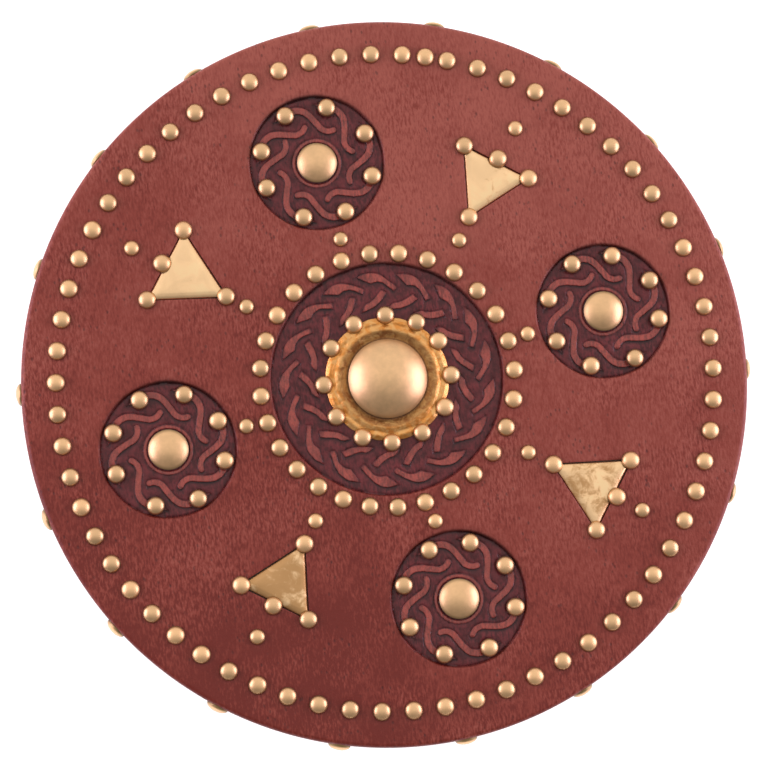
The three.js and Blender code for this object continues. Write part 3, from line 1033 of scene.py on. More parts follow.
@made_once
def collar_finish(settings):
    """Hammered brass: ochre on the lip, brown in its hollows, and painted black under the dome as wax and
    painted shade.
    """
    finish = Finish("hammered_brass")
    place = finish.place()
    low = finish.kept("low")
    lip = finish.kept("lip")
    cloud = finish.noise(place, 0.006, 4, 0.65, 0.8)
    fine = finish.noise(place, 0.0018, 3, 0.65)
    metal = tuple(settings.collar_colour)
    bright = finish.mix(cloud.band(0.36, 0.62), tuple(settings.heat_colour), metal)
    stained = finish.mix(cloud.band(0.36, 0.62), shaded(settings.wax_and_shade_colour, 0.9), shaded(metal, 0.66))
    colour = finish.mix((lip + 0.7 * (fine - 0.5)).clamped(), stained, bright)
    # Painted shade with wax: the collar is painted near black at the dome's foot, where the dome shades
    # it.
    wax_and_shade = (1.15 * low + 0.7 * (fine - 0.5)).band(0.3, 0.9)
    colour = finish.mix(0.92 * wax_and_shade, colour, shaded(settings.wax_and_shade_colour, 0.35))
    rough = 0.34 + 0.3 * wax_and_shade + 0.2 * (cloud - 0.5)
    normal = finish.bump(0.6 * cloud + 0.4 * fine, 0.0006)
    return finish.done(Base_Color=colour, Metallic=1 - 0.6 * wax_and_shade, Roughness=rough, Normal=normal)


@made_once
def plate_finish(settings):
    """Sheet brass with a soft brushed sheen and brown stains, more on some plates than on others."""
    finish = Finish("sheet_brass")
    place = finish.place()
    cloud = finish.noise(place, 0.02, 4, 0.55, 0.6)
    fine = finish.noise(finish.stretched(place, 110, 7), 0.0012, 3, 0.6)
    border = finish.kept("low")
    patina = finish.kept("patina")
    metal = tuple(settings.plate_colour)
    colour = finish.mix(cloud.band(0.35, 0.65), shaded(metal, 0.92), shaded(metal, 1.06))
    colour = finish.mix(0.6 * border, colour, tuple(settings.brass_colour))
    blotches = finish.noise(place, 0.011, 4, 0.65, 0.5)
    stain = (blotches - 0.72 + 0.5 * patina).band(-0.1, 0.12)
    colour = finish.mix(0.75 * stain, colour, tuple(settings.stain_colour))
    rough = 0.3 + 0.12 * (cloud - 0.5) + 0.12 * stain
    normal = finish.bump(fine, 0.00003)
    return finish.done(Base_Color=colour, Metallic=1.0, Roughness=rough, Normal=normal)


@made_once
def board_finish(settings):
    """Sawn softwood: growth rings along the planks, with darker joints."""
    finish = Finish("sawn_pine")
    place = finish.place()
    long = finish.stretched(place, 0, 12)
    warp = finish.noise(long, 0.03, 3, 0.5)
    rings = (finish.noise(long, 0.007, 2, 0.5) * 0.6 + warp * 0.4).band(0.35, 0.65)
    fibre = finish.noise(finish.stretched(place, 0, 33), 0.0012, 3, 0.7)
    wood = tuple(settings.wood_colour)
    colour = finish.mix(rings, shaded(wood, 0.72), shaded(wood, 1.1))
    colour = finish.mix(0.35 * fibre, colour, shaded(wood, 0.45))
    joint = finish.kept("joint")
    colour = finish.mix(0.8 * joint, colour, shaded(wood, 0.15))
    normal = finish.bump(0.6 * fibre + 0.4 * rings, 0.0003)
    return finish.done(Base_Color=colour, Roughness=0.6 + 0.15 * (fibre - 0.5), Normal=normal)


@made_once
def strap_finish(settings):
    """Bridle leather: darker and smoother than the hide, rubbed at its edges."""
    finish = Finish("strap_leather")
    place = finish.place()
    cloud = finish.noise(place, 0.02, 4, 0.6)
    grain = finish.noise(place, 0.0015, 3, 0.7)
    edge = finish.kept("edge")
    leather = tuple(settings.strap_colour)
    patches = (0.6 * cloud + 0.4 * grain).band(0.38, 0.62)
    colour = finish.mix(patches, shaded(leather, 0.7), shaded(leather, 1.25))
    colour = finish.mix(0.7 * edge, colour, shaded(leather, 0.4))
    relief = 0.6 * grain + 0.4 * finish.cells(place, 0.0012).band(0.0, 0.7)
    normal = finish.bump(relief, 0.0002)
    return finish.done(Base_Color=colour, Roughness=0.5 + 0.15 * (grain - 0.5), Normal=normal)


@made_once
def thread_finish(settings):
    """Waxed linen thread."""
    finish = Finish("waxed_thread")
    twist = finish.noise(finish.place(), 0.0006, 2)
    thread = tuple(settings.thread_colour)
    colour = finish.mix(twist, shaded(thread, 0.6), shaded(thread, 1.2))
    return finish.done(Base_Color=colour, Roughness=0.7, Normal=finish.bump(twist, 0.0001))


@made_once
def floor_finish(settings):
    """Pale studio paper."""
    finish = Finish("studio_paper")
    fibre = finish.noise(finish.place(), 0.4, 3)
    paper = tuple(settings.floor_colour)
    colour = finish.mix(fibre, shaded(paper, 0.99), paper)
    return finish.done(Base_Color=colour, Roughness=0.9, Emission_Color=(1, 1, 1, 1),
                       Emission_Strength=settings.floor_glow)


# The boss

DOME_RADIUS = 0.0271
DOME_SLOPE = 48
STUD_SLOPE = 40
DOME_DENT = (6e-5, 0.012)
DOME_BED = 0.0003
# (sides, rings)
DOME_FINENESS = (96, 26)
STUD_FINENESS = (56, 16)
COLLAR_HOLE = 0.02
COLLAR_RADIUS = 0.0421
COLLAR_FOOT = 0.0418
COLLAR_SCALLOP = 0.0005
COLLAR_STEPS = 240
# (radius, height over the ground) of the collar's top, from the hole to the lip
COLLAR_TOP = [(COLLAR_HOLE, 0.0015), (0.0262, 0.0014), (0.0283, 0.0016), (0.0303, 0.0025),
              (0.0322, 0.0034), (0.0337, 0.0039), (0.0352, 0.0034), (0.0372, 0.0024), (0.0388, 0.0020),
              (0.0402, 0.0021), (0.0415, 0.0018), (COLLAR_RADIUS, 0.0012)]
COLLAR_RINGS = [*np.linspace(COLLAR_HOLE, 0.0285, 4), *np.linspace(0.0293, COLLAR_RADIUS, 22)]
# The lip stands up in waves between the nails, each of which holds it down over an angle
LIP_START = 0.0365
LIP_WAVE = 0.0011
NAIL_HOLD = 13
# Hammer marks: small dents, and longer beats round the lip
DENT = (3.2e-4, 0.0042)
BEAT = (3e-4, 1.6)
# (first, last) radius over which the dents begin, the wax and painted shade under the dome end and the
# lip begins
DENT_EDGE = (0.028, 0.031)
WAX_AND_SHADE_EDGE = (0.0276, 0.0292)
LIP_EDGE = (0.0322, 0.0352)


def ramp_up(value, edge):
    """0 up to the first of two values, 1 from the second on, and a straight ramp between."""
    return min(1.0, max(0.0, (value - edge[0]) / (edge[1] - edge[0])))


def collar_height(reach, x, y, free, out):
    """The collar's height over the ground, in a direction (x, y) where it is more or less free."""
    height = float(np.interp(reach, *zip(*COLLAR_TOP)))
    height += LIP_WAVE * free * math.sin(math.pi * min(1.0, 1.15 * out)) ** 2
    dent = DENT[0] * soft(x * reach, y * reach, 0.5, size=DENT[1])
    dent += BEAT[0] * soft(12 * x, 12 * y, reach * 90, size=BEAT[1]) * min(1.0, out + 0.3)
    return height + ramp_up(reach, DENT_EDGE) * dent


def collar_mesh():
    """The collar: pressed down under each nail of its row, and standing up between them."""
    nails = [math.atan2(*(axis_of(node) - BOSS_CENTRE)[::-1]) for node in BOSS_NAILS]
    rings, low, lip = [], [], []
    for reach in COLLAR_RINGS:
        out = max(0.0, (reach - LIP_START) / (COLLAR_RADIUS - LIP_START))
        ring = []
        for angle in np.arange(COLLAR_STEPS) * 2 * math.pi / COLLAR_STEPS:
            nearest = min(abs(math.remainder(angle - nail, 2 * math.pi)) for nail in nails)
            free = eased(min(1.0, nearest / math.radians(NAIL_HOLD)))
            x, y = math.cos(angle), math.sin(angle)
            grown = reach + out * COLLAR_SCALLOP * (2 * free - 1)
            level = GROUND_Z + collar_height(reach, x, y, free, out)
            ring.append((BOSS_CENTRE[0] + grown * x, BOSS_CENTRE[1] + grown * y, level))
        rings.append(ring)
        low += [1 - ramp_up(reach, WAX_AND_SHADE_EDGE)] * COLLAR_STEPS
        lip += [ramp_up(reach, LIP_EDGE)] * COLLAR_STEPS
    for reach in (COLLAR_FOOT, COLLAR_HOLE):
        rings.append([(*polar(BOSS_CENTRE, 360 * i / COLLAR_STEPS, reach), GROUND_Z)
                      for i in range(COLLAR_STEPS)])
    low += [0.0] * (2 * COLLAR_STEPS)
    lip += [1.0] * (2 * COLLAR_STEPS)
    faces = []
    count = len(rings)
    for k in range(count):
        here, there = k * COLLAR_STEPS, ((k + 1) % count) * COLLAR_STEPS
        for i in range(COLLAR_STEPS):
            j = (i + 1) % COLLAR_STEPS
            faces.append((here + i, there + i, there + j, here + j))
    mesh = mesh_of("brass_collar", np.array(rings).reshape(-1, 3), faces, 50)
    store(mesh, "low", low)
    store(mesh, "lip", lip)
    return mesh


def dome_mesh(name, centre, foot, radius, height, slope, steps, rings):
    """A large pressed dome: a short upright skirt, and a cap that springs from it at a slope."""
    slope = math.radians(slope)
    reach = radius / math.sin(slope)
    skirt = height - reach * (1 - math.cos(slope))
    tilts = np.linspace(slope, 0, rings + 1)[:-1]
    cap = [(reach * math.sin(a), skirt + reach * (math.cos(a) - math.cos(slope))) for a in tilts]
    upright = [(radius, t * skirt) for t in (0.0, 0.5)]
    profile = [(0, -DOME_BED), (0.95 * radius, -DOME_BED), *upright, *cap, (0, height)]
    vertices, faces = turned_mesh(profile, steps)
    low = rim_share(vertices, height)
    for i, (x, y, z) in enumerate(vertices):
        vertices[i, 2] -= DOME_DENT[0] * (1 - low[i]) * (1.2 + soft(x, y, 1.7, size=DOME_DENT[1]))
    mesh = mesh_of(name, vertices + np.array([*centre, foot]), faces, 30)
    # low darkens the dome towards its foot in the finish: painted shade with tarnish.
    store(mesh, "low", low**2)
    store(mesh, "tone", [0.5] * len(vertices))
    return mesh


# The plates

PLATE_RINGS = [0.0, 0.00015, 0.0005, 0.0012, 0.002, 0.0027, 0.0031, 0.0035, 0.0045, 0.0065, 0.0095,
               0.0125]
PLATE_BORDER = 0.003
PLATE_DROP = 0.0012
PLATE_CROWN = 0.0003
PLATE_CREASE = (0.00018, 0.0005)
PLATE_ROUND_OVER = (0.0002, 0.0003)
PLATE_CORNER = (0.0009, 0.0011)
PLATE_DENT = (1e-4, 0.014)
PLATE_LEAN = 0.004
PLATE_SIDE_POINTS = 28
# How stained each plate is
PLATE_PATINA = (0.12, 0.0, 0.66, 0.4)


def plate_height(inward, inradius):
    """Height of a plate over the face, at a distance in from its edge."""
    border = min(1.0, inward / PLATE_BORDER)
    crown = max(0.0, inward - PLATE_BORDER) / (inradius - PLATE_BORDER)
    height = PLATE_CROWN * math.sin(0.5 * math.pi * crown) - PLATE_DROP * (1 - border)
    height -= PLATE_CREASE[0] * bell(inward - PLATE_BORDER, PLATE_CREASE[1])
    return height - PLATE_ROUND_OVER[0] * bell(inward, PLATE_ROUND_OVER[1])


def plate_mesh(node, patina, chance):
    """A brass plate: a sloping border round a field that swells a little, with cut corners."""
    corners = foot_corners(node)
    middle = sum(corners) / 3
    inradius = float(np.mean([np.hypot(*(c - middle)) for c in corners])) / 2
    lean = chance.normal(0, PLATE_LEAN, 2)
    rings, low = [], []
    for inward in PLATE_RINGS:
        shrink = 1 - inward / inradius
        ring = []
        for i in range(3):
            a, b = corners[i], corners[(i + 1) % 3]
            for t in np.arange(PLATE_SIDE_POINTS) / PLATE_SIDE_POINTS:
                spot = middle + shrink * (a + (b - a) * t - middle)
                near_end = min(t, 1 - t) * np.hypot(*(b - a))
                pull = PLATE_CORNER[0] * bell(near_end, PLATE_CORNER[1])
                spot = spot + (middle - spot) / np.hypot(*(middle - spot)) * pull
                height = plate_height(inward, inradius) + float((spot - middle) @ lean)
                height += PLATE_DENT[0] * soft(*spot, 0.7, size=PLATE_DENT[1])
                ring.append((*spot, FACE_Z + height))
                low.append(max(0.0, 1 - inward / PLATE_BORDER))
        rings.append(ring)
    count = 3 * PLATE_SIDE_POINTS
    flat = [(x, y, BOARD_TOP_Z) for x, y, _ in rings[0]]
    vertices = [v for ring in [flat, *rings] for v in ring]
    vertices += [(*middle, FACE_Z + plate_height(inradius, inradius)), (*middle, BOARD_TOP_Z)]
    low = [1.0] * count + low + [0.0, 0.0]
    faces = ring_faces(len(rings) + 1, count)
    last = len(rings) * count
    top, bottom = len(vertices) - 2, len(vertices) - 1
    for i in range(count):
        j = (i + 1) % count
        faces.append((last + i, last + j, top))
        faces.append((j, i, bottom))
    mesh = mesh_of(f"brass_{node}", vertices, faces, 50)
    store(mesh, "low", low)
    store(mesh, "patina", [patina] * len(vertices))
    return mesh


# The back

PLANK_COUNT = 5
PLANK_STEPS = 48
JOINT_BEVEL = 0.0012
JOINT_GAP = 0.0001


def plank(low, high):
    """(vertices, faces, joint) of one plank of the disc, between two levels across the grain.

    Joint is 0 on the face that shows at the back, and 1 off it.
    """
    top = BOARD_TOP_Z
    spots = [(low, top), (low, BACK_Z + JOINT_BEVEL), (low + JOINT_BEVEL, BACK_Z)]
    spots += [(y, BACK_Z) for y in np.linspace(low, high, 6)[1:-1]]
    spots += [(high - JOINT_BEVEL, BACK_Z), (high, BACK_Z + JOINT_BEVEL), (high, top)]
    vertices, joint = [], []
    for y, z in spots:
        half = math.sqrt(max(BOARD_RADIUS**2 - y**2, 1e-6))
        for x in np.linspace(-half, half, PLANK_STEPS):
            vertices.append((x, y, z))
            joint.append(1.0 if z > BACK_Z + 1e-5 else 0.0)
    faces = []
    count = len(spots)
    for k in range(count):
        here, there = k * PLANK_STEPS, ((k + 1) % count) * PLANK_STEPS
        for i in range(PLANK_STEPS - 1):
            faces.append((here + i, there + i, there + i + 1, here + i + 1))
    for end in (0, PLANK_STEPS - 1):
        loop = [k * PLANK_STEPS + end for k in range(count)]
        faces.append(loop[::-1] if end == 0 else loop)
    return np.array(vertices), faces, joint


def board_mesh():
    """The board, of planks laid side by side with bevelled joints."""
    edges = np.linspace(-BOARD_RADIUS, BOARD_RADIUS, PLANK_COUNT + 1)
    parts = [plank(low + JOINT_GAP, high - JOINT_GAP) for low, high in zip(edges, edges[1:])]
    vertices, faces = joined([part[:2] for part in parts])
    mesh = mesh_of("planked_board", vertices, faces, 30)
    store(mesh, "joint", [value for part in parts for value in part[2]])
    return mesh


# The straps

STRAP_THICKNESS = 0.005
STRAP_CROWN_HALF = 0.02
STRAP_NAIL_INSET = 0.012
STRAPS = {"arm_strap": {"slope": 0.055, "tail": 0.035}, "hand_grip": {"slope": 0.042, "tail": 0.03}}
STRAP_CORNER = 0.0014
STRAP_WORN = 0.0012
# (across, depth) of the channel that a row of stitches lies in
CHANNEL = [(-0.0011, 0), (-0.0005, 0.0005), (0.0005, 0.0005), (0.0011, 0)]
STITCH_PITCH = 0.0055
STITCH_INSET = 0.0045
STITCH_RADIUS = 0.00045
STITCH_SHARE = 0.76
STITCH_SINK = 0.0004
STITCH_MARGIN = 0.006
# (share of the radius, share of the length) along one stitch
STITCH_SHAPE = [(0, 0), (0.7, 0.08), (1, 0.3), (1, 0.7), (0.7, 0.92), (0, 1)]


def strap_line(node):
    """Points (y, z) along the middle of a strap: a tail, a slope, the crown, and back up."""
    shape = STRAPS[node]
    gap = BACK_Z - STRAP_THICKNESS
    half = []
    for t in np.linspace(0, 1, 25):
        rise = (1 - math.cos(math.pi * t)) / 2
        half.append((STRAP_CROWN_HALF + shape["slope"] * t, STRAP_THICKNESS / 2 + gap * rise))
    end = STRAP_CROWN_HALF + shape["slope"] + shape["tail"]
    half += [(y, half[-1][1]) for y in np.linspace(half[-1][0], end, 7)[1:]]
    crown = [(y, half[0][1]) for y in np.linspace(-STRAP_CROWN_HALF, STRAP_CROWN_HALF, 9)[1:-1]]
    return np.array([(-y, z) for y, z in reversed(half)] + crown + half)


def strap_section(width):
    """(x, up, edge) round a strap: flat faces, rounded corners and a channel for each row of stitches."""
    half, thick = width / 2, STRAP_THICKNESS / 2
    row = half - STITCH_INSET
    across = [(-row + dx, thick - dip) for dx, dip in CHANNEL]
    across += [(x, thick) for x in np.linspace(-row, row, 7)[1:-1]]
    across += [(row + dx, thick - dip) for dx, dip in CHANNEL]
    right = arc(half - STRAP_CORNER, thick - STRAP_CORNER, STRAP_CORNER, 90, 0, 4)
    upper = [(-x, z) for x, z in reversed(right)] + across + right
    lower = [(x, -z) for x, z in reversed(upper)]
    section = upper + lower
    return [(x, up, float(abs(x) > half - STRAP_WORN)) for x, up in section]


def frames_along(line):
    """The upward direction across a line of (y, z) points, at each of them."""
    along = np.gradient(line, axis=0)
    along /= np.hypot(*along.T)[:, None]
    return np.stack([-along[:, 1], along[:, 0]], 1)


def strap_mesh(node):
    """A strap, swept along its line."""
    low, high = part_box(node)
    centre = (low.x + high.x) / 2
    line = strap_line(node)
    up = frames_along(line)
    section = strap_section(high.x - low.x)
    vertices, edge = [], []
    for (y, z), (uy, uz) in zip(line, up):
        for x, rise, worn in section:
            vertices.append((centre + x, y + uy * rise, max(z + uz * rise, 0)))
            edge.append(worn)
    count = len(section)
    faces = ring_faces(len(line), count)
    faces.append(tuple(reversed(range(count))))
    faces.append(tuple(range((len(line) - 1) * count, len(line) * count)))
    mesh = mesh_of(f"sewn_{node}", vertices, faces, 40)
    store(mesh, "edge", edge)
    return mesh


def stitch_mesh(node):
    """The two rows of stitches of a strap, on both of its faces. A stitch is a short thick thread."""
    low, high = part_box(node)
    centre, half = (low.x + high.x) / 2, (high.x - low.x) / 2
    line = strap_line(node)
    up = frames_along(line)
    length = np.concatenate([[0], np.cumsum(np.hypot(*np.diff(line, axis=0).T))])
    parts = []
    profile = [(r * STITCH_RADIUS, t * STITCH_SHARE * STITCH_PITCH) for r, t in STITCH_SHAPE]
    thread, faces = turned_mesh(profile, 8)
    for stop in np.arange(STITCH_MARGIN, length[-1] - STITCH_MARGIN, STITCH_PITCH):
        y, z = (np.interp(stop, length, line[:, i]) for i in (0, 1))
        uy, uz = (np.interp(stop + 0.4 * STITCH_PITCH, length, up[:, i]) for i in (0, 1))
        for side in (-1, 1):
            for face in (-1, 1):
                rise = face * (STRAP_THICKNESS / 2 - STITCH_SINK)
                x = centre + side * (half - STITCH_INSET)
                spots = [(x + a, y + uz * c + uy * (rise + b), z - uy * c + uz * (rise + b))
                         for a, b, c in thread]
                parts.append((np.array(spots), faces))
    vertices, faces = joined(parts)
    vertices[:, 2] = vertices[:, 2].clip(0, None)
    return mesh_of(f"stitches_{node}", vertices, faces, 60)


# Settings


def colour(name, description, default):
    """A colour that a user may change."""
    return FloatVectorProperty(name=name, description=description, subtype="COLOR", size=3, min=0, max=1,
                               default=default)


def fraction(name, description, default):
    """A number from 0 to 1 that a user may change."""
    return FloatProperty(name=name, description=description, default=default, min=0, max=1,
                         subtype="FACTOR")


def point(name, description, default):
    """A place that a user may change."""
    return FloatVectorProperty(name=name, description=description, default=default, size=3,
                               subtype="TRANSLATION", unit="LENGTH")


class HideSettings(PropertyGroup):
    """Colours and grain of the tooled hide."""

    face_colour: colour("Face", "Dye of the plain face", (0.242, 0.043, 0.028))
    ground_colour: colour("Ground", "Dye of the sunk ground", (0.094, 0.014, 0.015))
    strand_colour: colour("Strands", "Dye on top of the carved strands", (0.26, 0.042, 0.028))
    # Also the colour of the painted shadow along the grooves.
    cut_and_shadow_colour: colour("Cuts", "Dark burnish in the cuts and pores", (0.014, 0.004, 0.004))
    roughness: fraction("Roughness", "Roughness of the waxed face", 0.42)
    gloss: fraction("Gloss", "Strength of the wax's reflections", 0.32)
    # Painted light with dye: the face is painted lighter at the top, as light from above and as lighter
    # dye.
    top_light_and_dye_slope: fraction("Dye slope", "How much lighter the dye is at the top", 0.3)
    grain_depth: FloatProperty(name="Grain", description="Depth of the grain", default=0.0003,
                               unit="LENGTH")


class BrassSettings(PropertyGroup):
    """Colours and fineness of the brass."""

    brass_colour: colour("Nails", "Colour of the nails and the boss", (0.83, 0.50, 0.245))
    collar_colour: colour("Collar", "Colour of the collar's lip", (0.80, 0.42, 0.15))
    heat_colour: colour("Heat", "Orange that the torch left on the collar", (0.72, 0.27, 0.06))
    plate_colour: colour("Plates", "Colour of the triangular plates", (1.0, 0.65, 0.35))
    stain_colour: colour("Stains", "Brown stains on the plates", (0.42, 0.20, 0.06))
    # Paints the shade at the foot of a nail as well as its tarnish.
    tarnish_and_shade_colour: colour("Tarnish", "Tarnish at the foot of a nail", (0.16, 0.11, 0.035))
    # Darkened, it also paints the shade under the dome.
    wax_and_shade_colour: colour("Wax", "Brown wax in the collar's hollows", (0.34, 0.14, 0.05))
    brass_roughness: fraction("Roughness", "Roughness of the nails", 0.4)
    nail_steps: IntProperty(name="Nail sides", description="Sides of a nail head", default=32, min=12,
                            max=64)


class BackSettings(PropertyGroup):
    """Colours of the board and the straps."""

    wood_colour: colour("Wood", "Colour of the bare board", (0.46, 0.27, 0.13))
    strap_colour: colour("Straps", "Colour of the strap leather", (0.085, 0.028, 0.014))
    thread_colour: colour("Thread", "Colour of the stitches", (0.50, 0.40, 0.26))


class StageSettings(PropertyGroup):
    """Camera, light and floor."""

    camera_place: point("Camera", "Place of the camera", (-0.1761, -0.1837, 2.0487))
    aim: point("Aim", "Point in the middle of the picture", (-0.0030, -0.0038, 0.0645))
    view_width: FloatProperty(name="View", description="Longer side of the picture at the shield's face",
                              default=0.52848, unit="LENGTH")
    floor_colour: colour("Floor", "Colour of the floor", (0.95, 0.95, 0.95))
    floor_glow: fraction("Floor glow", "Light that comes up through the floor", 0.6)
    side_power: FloatProperty(name="Side lights", description="Power of each side light", default=9.2,
                              unit="POWER")
    side_colour: colour("Side lights", "Colour of the side lights", (0.86, 0.73, 1.0))
    room_front: fraction("Room in front", "Light of the room on the near side", 0.3)
    room_back: fraction("Room behind", "Light of the room on the far side", 1.0)


class TargeSettings(PropertyGroup):
    """All the settings of the shield."""

    hide: PointerProperty(type=HideSettings)
    brass: PointerProperty(type=BrassSettings)
    back: PointerProperty(type=BackSettings)
    stage: PointerProperty(type=StageSettings)


# Operators


SIDE_LIGHT = {"place": (1.2, 0.05, 0.44), "size": (1.1, 0.7), "aim": (0, 0, 0.06)}
# Where the room begins to brighten and is at its brightest, from -1 in front to 1 behind
ROOM_BAND = (-0.85, 0.35)
FLOOR_HALF = 4.0


class TARGE_OT_stage(Operator):
    """Sets the camera, the soft lights and the pale floor"""

    bl_idname = "targe.stage"
    bl_label = "Stage"

    def execute(self, context):
        settings = context.scene.targe.stage
        scene = context.scene
        scene.view_settings.view_transform = "Standard"
        place, aim = Vector(settings.camera_place), Vector(settings.aim)
        data = bpy.data.cameras.new("camera")
        data.lens = data.sensor_width * (aim - place).length / settings.view_width
        camera = bpy.data.objects.new("camera", data)
        ahead = (aim - place).normalized()
        right = ahead.cross(Vector((0, 1, 0))).normalized()
        turn = Matrix([right, right.cross(ahead), -ahead]).transposed()
        camera.matrix_world = Matrix.Translation(place) @ turn.to_4x4()
        scene.collection.objects.link(camera)
        scene.camera = camera

        for name, side in (("light_left", -1), ("light_right", 1)):
            lamp = bpy.data.lights.new(name, "AREA")
            lamp.shape = "RECTANGLE"
            lamp.size, lamp.size_y = SIDE_LIGHT["size"]
            lamp.energy = settings.side_power
            lamp.color = settings.side_colour
            light = bpy.data.objects.new(name, lamp)
            light.location = SIDE_LIGHT["place"]
            light.location.x *= side
            ahead = Vector(SIDE_LIGHT["aim"]) - light.location
            light.rotation_euler = ahead.to_track_quat("-Z", "Y").to_euler()
            scene.collection.objects.link(light)

        room = Bench(bpy.data.worlds.new("studio"), "BACKGROUND")
        way = room.node("ShaderNodeTexCoord", output="Generated")
        north = room.node("ShaderNodeSeparateXYZ", None, {"Vector": way}, "Y")
        brighter = settings.room_back - settings.room_front
        glow = settings.room_front + brighter * north.band(*ROOM_BAND)
        scene.world = room.done(Strength=glow, Color=(1, 1, 1, 1))

        corners = [(x * FLOOR_HALF, y * FLOOR_HALF, 0) for x, y in ((-1, -1), (1, -1), (1, 1), (-1, 1))]
        floor = link("floor", mesh_of("floor", corners, [(0, 1, 2, 3)]), floor_finish(settings), None)
        return {"FINISHED"}


class TARGE_OT_hide(Operator):
    """Makes the tooled hide over the front, round the edge and hemmed on the back"""

    bl_idname = "targe.hide"
    bl_label = "Tooled hide"

    def execute(self, context):
        finish = hide_finish(context.scene.targe.hide)
        dress("tooled_hide", hide_mesh(), finish, "leather_cover")
        return {"FINISHED"}


class TARGE_OT_nail_rows(Operator):
    """Makes the rows of nails that the solids hold in one body with the hide"""

    bl_idname = "targe.nail_rows"
    bl_label = "Nail rows"

    def execute(self, context):
        settings = context.scene.targe.brass
        chance = np.random.default_rng(66)
        rows = {
            "rim_nails": rim_row(),
            "ring_nails": ring_row(),
            "roundel_nails": [spot for k in range(4) for angle, spot in roundel_row(k)],
        }
        for name, row in rows.items():
            places = [((*spot, FACE_Z), UPRIGHT) for spot in row]
            mesh = nail_group(name, places, NAIL, NAIL_BED, settings, chance)
            dress(name, mesh, brass_finish(settings), "leather_cover")
        return {"FINISHED"}


class TARGE_OT_edge_tacks(Operator):
    """Makes the domed tacks round the side of the shield"""

    bl_idname = "targe.edge_tacks"
    bl_label = "Edge tacks"

    def execute(self, context):
        settings = context.scene.targe.brass
        chance = np.random.default_rng(18)
        up = np.array([0, 0, 1.0])
        places = []
        for i in range(EDGE_ROW["count"]):
            angle = math.radians(EDGE_ROW["first"] + 360 * i / EDGE_ROW["count"])
            outward = np.array([math.cos(angle), math.sin(angle), 0])
            across = np.array([-math.sin(angle), math.cos(angle), 0])
            spot = outward * SHIELD_RADIUS + up * (HEM_Z + FACE_Z) / 2
            places.append((spot, np.array([across, up, outward])))
        mesh = nail_group("edge_tacks", places, EDGE_TACK, EDGE_TACK_BED, settings, chance)
        dress("edge_tacks", mesh, brass_finish(settings), "leather_cover")
        return {"FINISHED"}


class TARGE_OT_loose_nails(Operator):
    """Makes the nails of the boss and the plates, and the single studs, one by one"""

    bl_idname = "targe.loose_nails"
    bl_label = "Boss nails, plate nails and single studs"

    def execute(self, context):
        settings = context.scene.targe.brass
        chance = np.random.default_rng(40)
        for node in [*BOSS_NAILS, *PLATE_NAILS]:
            loose_nail(node, NAIL, settings, chance)
        for node in SINGLE_STUDS:
            loose_nail(node, SMALL_STUD, settings, chance)
        return {"FINISHED"}


class TARGE_OT_domes(Operator):
    """Makes the boss's dome and the large stud of each roundel"""

    bl_idname = "targe.domes"
    bl_label = "Boss dome and roundel studs"

    def execute(self, context):
        settings = context.scene.targe.brass
        shapes = {"boss_dome": (DOME_RADIUS, DOME_SLOPE, DOME_FINENESS)}
        shapes.update({stud: (ROUNDEL_STUD[0], STUD_SLOPE, STUD_FINENESS) for stud in ROUNDEL_STUDS})
        for node, (radius, slope, fineness) in shapes.items():
            low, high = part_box(node)
            name = f"brass_{node}"
            mesh = dome_mesh(name, axis_of(node), low.z, radius, high.z - low.z, slope, *fineness)
            dress(name, mesh, brass_finish(settings), node)
        return {"FINISHED"}


class TARGE_OT_collar(Operator):
    """Makes the hammered collar of the boss"""

    bl_idname = "targe.collar"
    bl_label = "Boss collar"

    def execute(self, context):
        mesh = collar_mesh()
        finish = collar_finish(context.scene.targe.brass)
        dress("brass_boss_collar", mesh, finish, "boss_collar")
        return {"FINISHED"}


class TARGE_OT_plates(Operator):
    """Makes the four triangular plates"""

    bl_idname = "targe.plates"
    bl_label = "Brass plates"

    def execute(self, context):
        finish = plate_finish(context.scene.targe.brass)
        chance = np.random.default_rng(4)
        for node, patina in zip(PLATES, PLATE_PATINA):
            dress(f"brass_{node}", plate_mesh(node, patina, chance), finish, node)
        return {"FINISHED"}


class TARGE_OT_board(Operator):
    """Makes the planked board that shows on the back"""

    bl_idname = "targe.board"
    bl_label = "Board"

    def execute(self, context):
        finish = board_finish(context.scene.targe.back)
        dress("planked_board", board_mesh(), finish, "board")
        return {"FINISHED"}


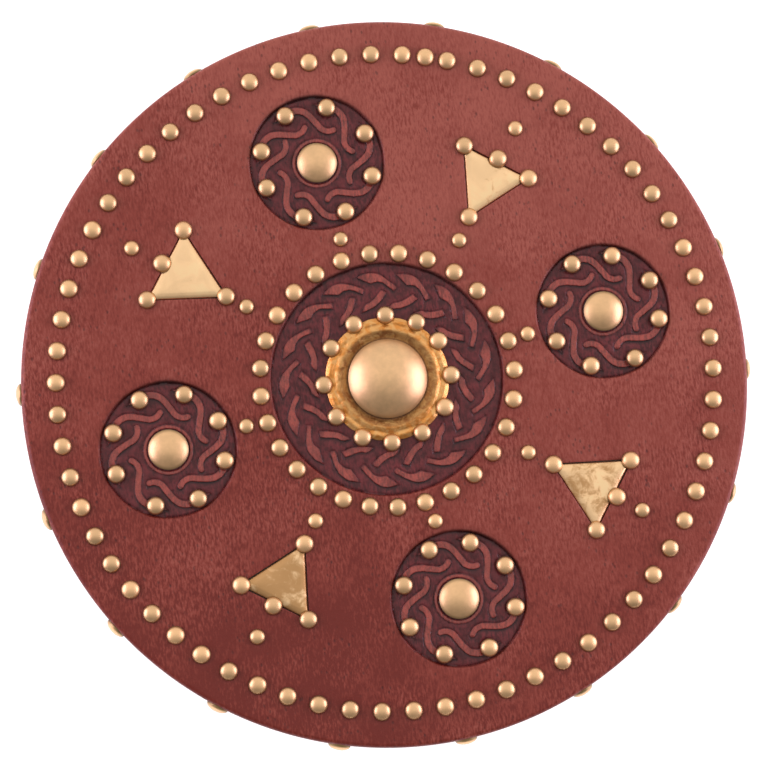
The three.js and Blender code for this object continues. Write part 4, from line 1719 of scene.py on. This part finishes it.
class TARGE_OT_straps(Operator):
    """Makes the arm strap and the hand grip, with their stitches and nails"""

    bl_idname = "targe.straps"
    bl_label = "Straps"

    def execute(self, context):
        settings = context.scene.targe
        chance = np.random.default_rng(2)
        level = -(BACK_Z - STRAP_THICKNESS)
        for node, shape in STRAPS.items():
            leather, thread = strap_finish(settings.back), thread_finish(settings.back)
            dress(f"sewn_{node}", strap_mesh(node), leather, node)
            dress(f"stitches_{node}", stitch_mesh(node), thread, node)
            low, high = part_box(node)
            reach = STRAP_CROWN_HALF + shape["slope"] + shape["tail"] - STRAP_NAIL_INSET
            middle, quarter = (low.x + high.x) / 2, (high.x - low.x) / 4
            places = [((middle + side * quarter, end * reach, level), UPRIGHT)
                      for end in (-1, 1) for side in (-1, 1)]
            name = f"nails_{node}"
            mesh = nail_group(name, places, SMALL_STUD, NAIL_BED, settings.brass, chance)
            mesh.transform(Matrix.Diagonal((1, 1, -1, 1)))
            mesh.flip_normals()
            dress(name, mesh, brass_finish(settings.brass), node)
        return {"FINISHED"}


class TARGE_PT_panel(Panel):
    """Lists the pieces of the shield and their settings"""

    bl_label = "Highland Targe"
    bl_space_type = "VIEW_3D"
    bl_region_type = "UI"
    bl_category = "Targe"

    def draw(self, context):
        for operator in OPERATORS:
            self.layout.operator(operator.bl_idname)
        for name in ("hide", "brass", "back", "stage"):
            group = getattr(context.scene.targe, name)
            box = self.layout.box()
            box.label(text=name.capitalize())
            for key in group.__annotations__:
                box.prop(group, key)


GROUPS = (HideSettings, BrassSettings, BackSettings, StageSettings, TargeSettings)
OPERATORS = (
    TARGE_OT_stage, TARGE_OT_hide, TARGE_OT_nail_rows, TARGE_OT_edge_tacks, TARGE_OT_loose_nails,
    TARGE_OT_domes, TARGE_OT_collar, TARGE_OT_plates, TARGE_OT_board, TARGE_OT_straps,
)


def register():
    """Registers the settings, the operators and the panel."""
    for group in (*GROUPS, *OPERATORS, TARGE_PT_panel):
        bpy.utils.register_class(group)
    bpy.types.Scene.targe = PointerProperty(type=TargeSettings)


def unregister():
    """Takes them out again."""
    del bpy.types.Scene.targe
    for group in reversed((*GROUPS, *OPERATORS, TARGE_PT_panel)):
        bpy.utils.unregister_class(group)


def main():
    """Makes the whole shield and its stage."""
    register()
    for operator in OPERATORS:
        getattr(bpy.ops.targe, operator.bl_idname.split(".")[1])()
    bpy.context.view_layer.update()


if __name__ == "__main__":
    main()
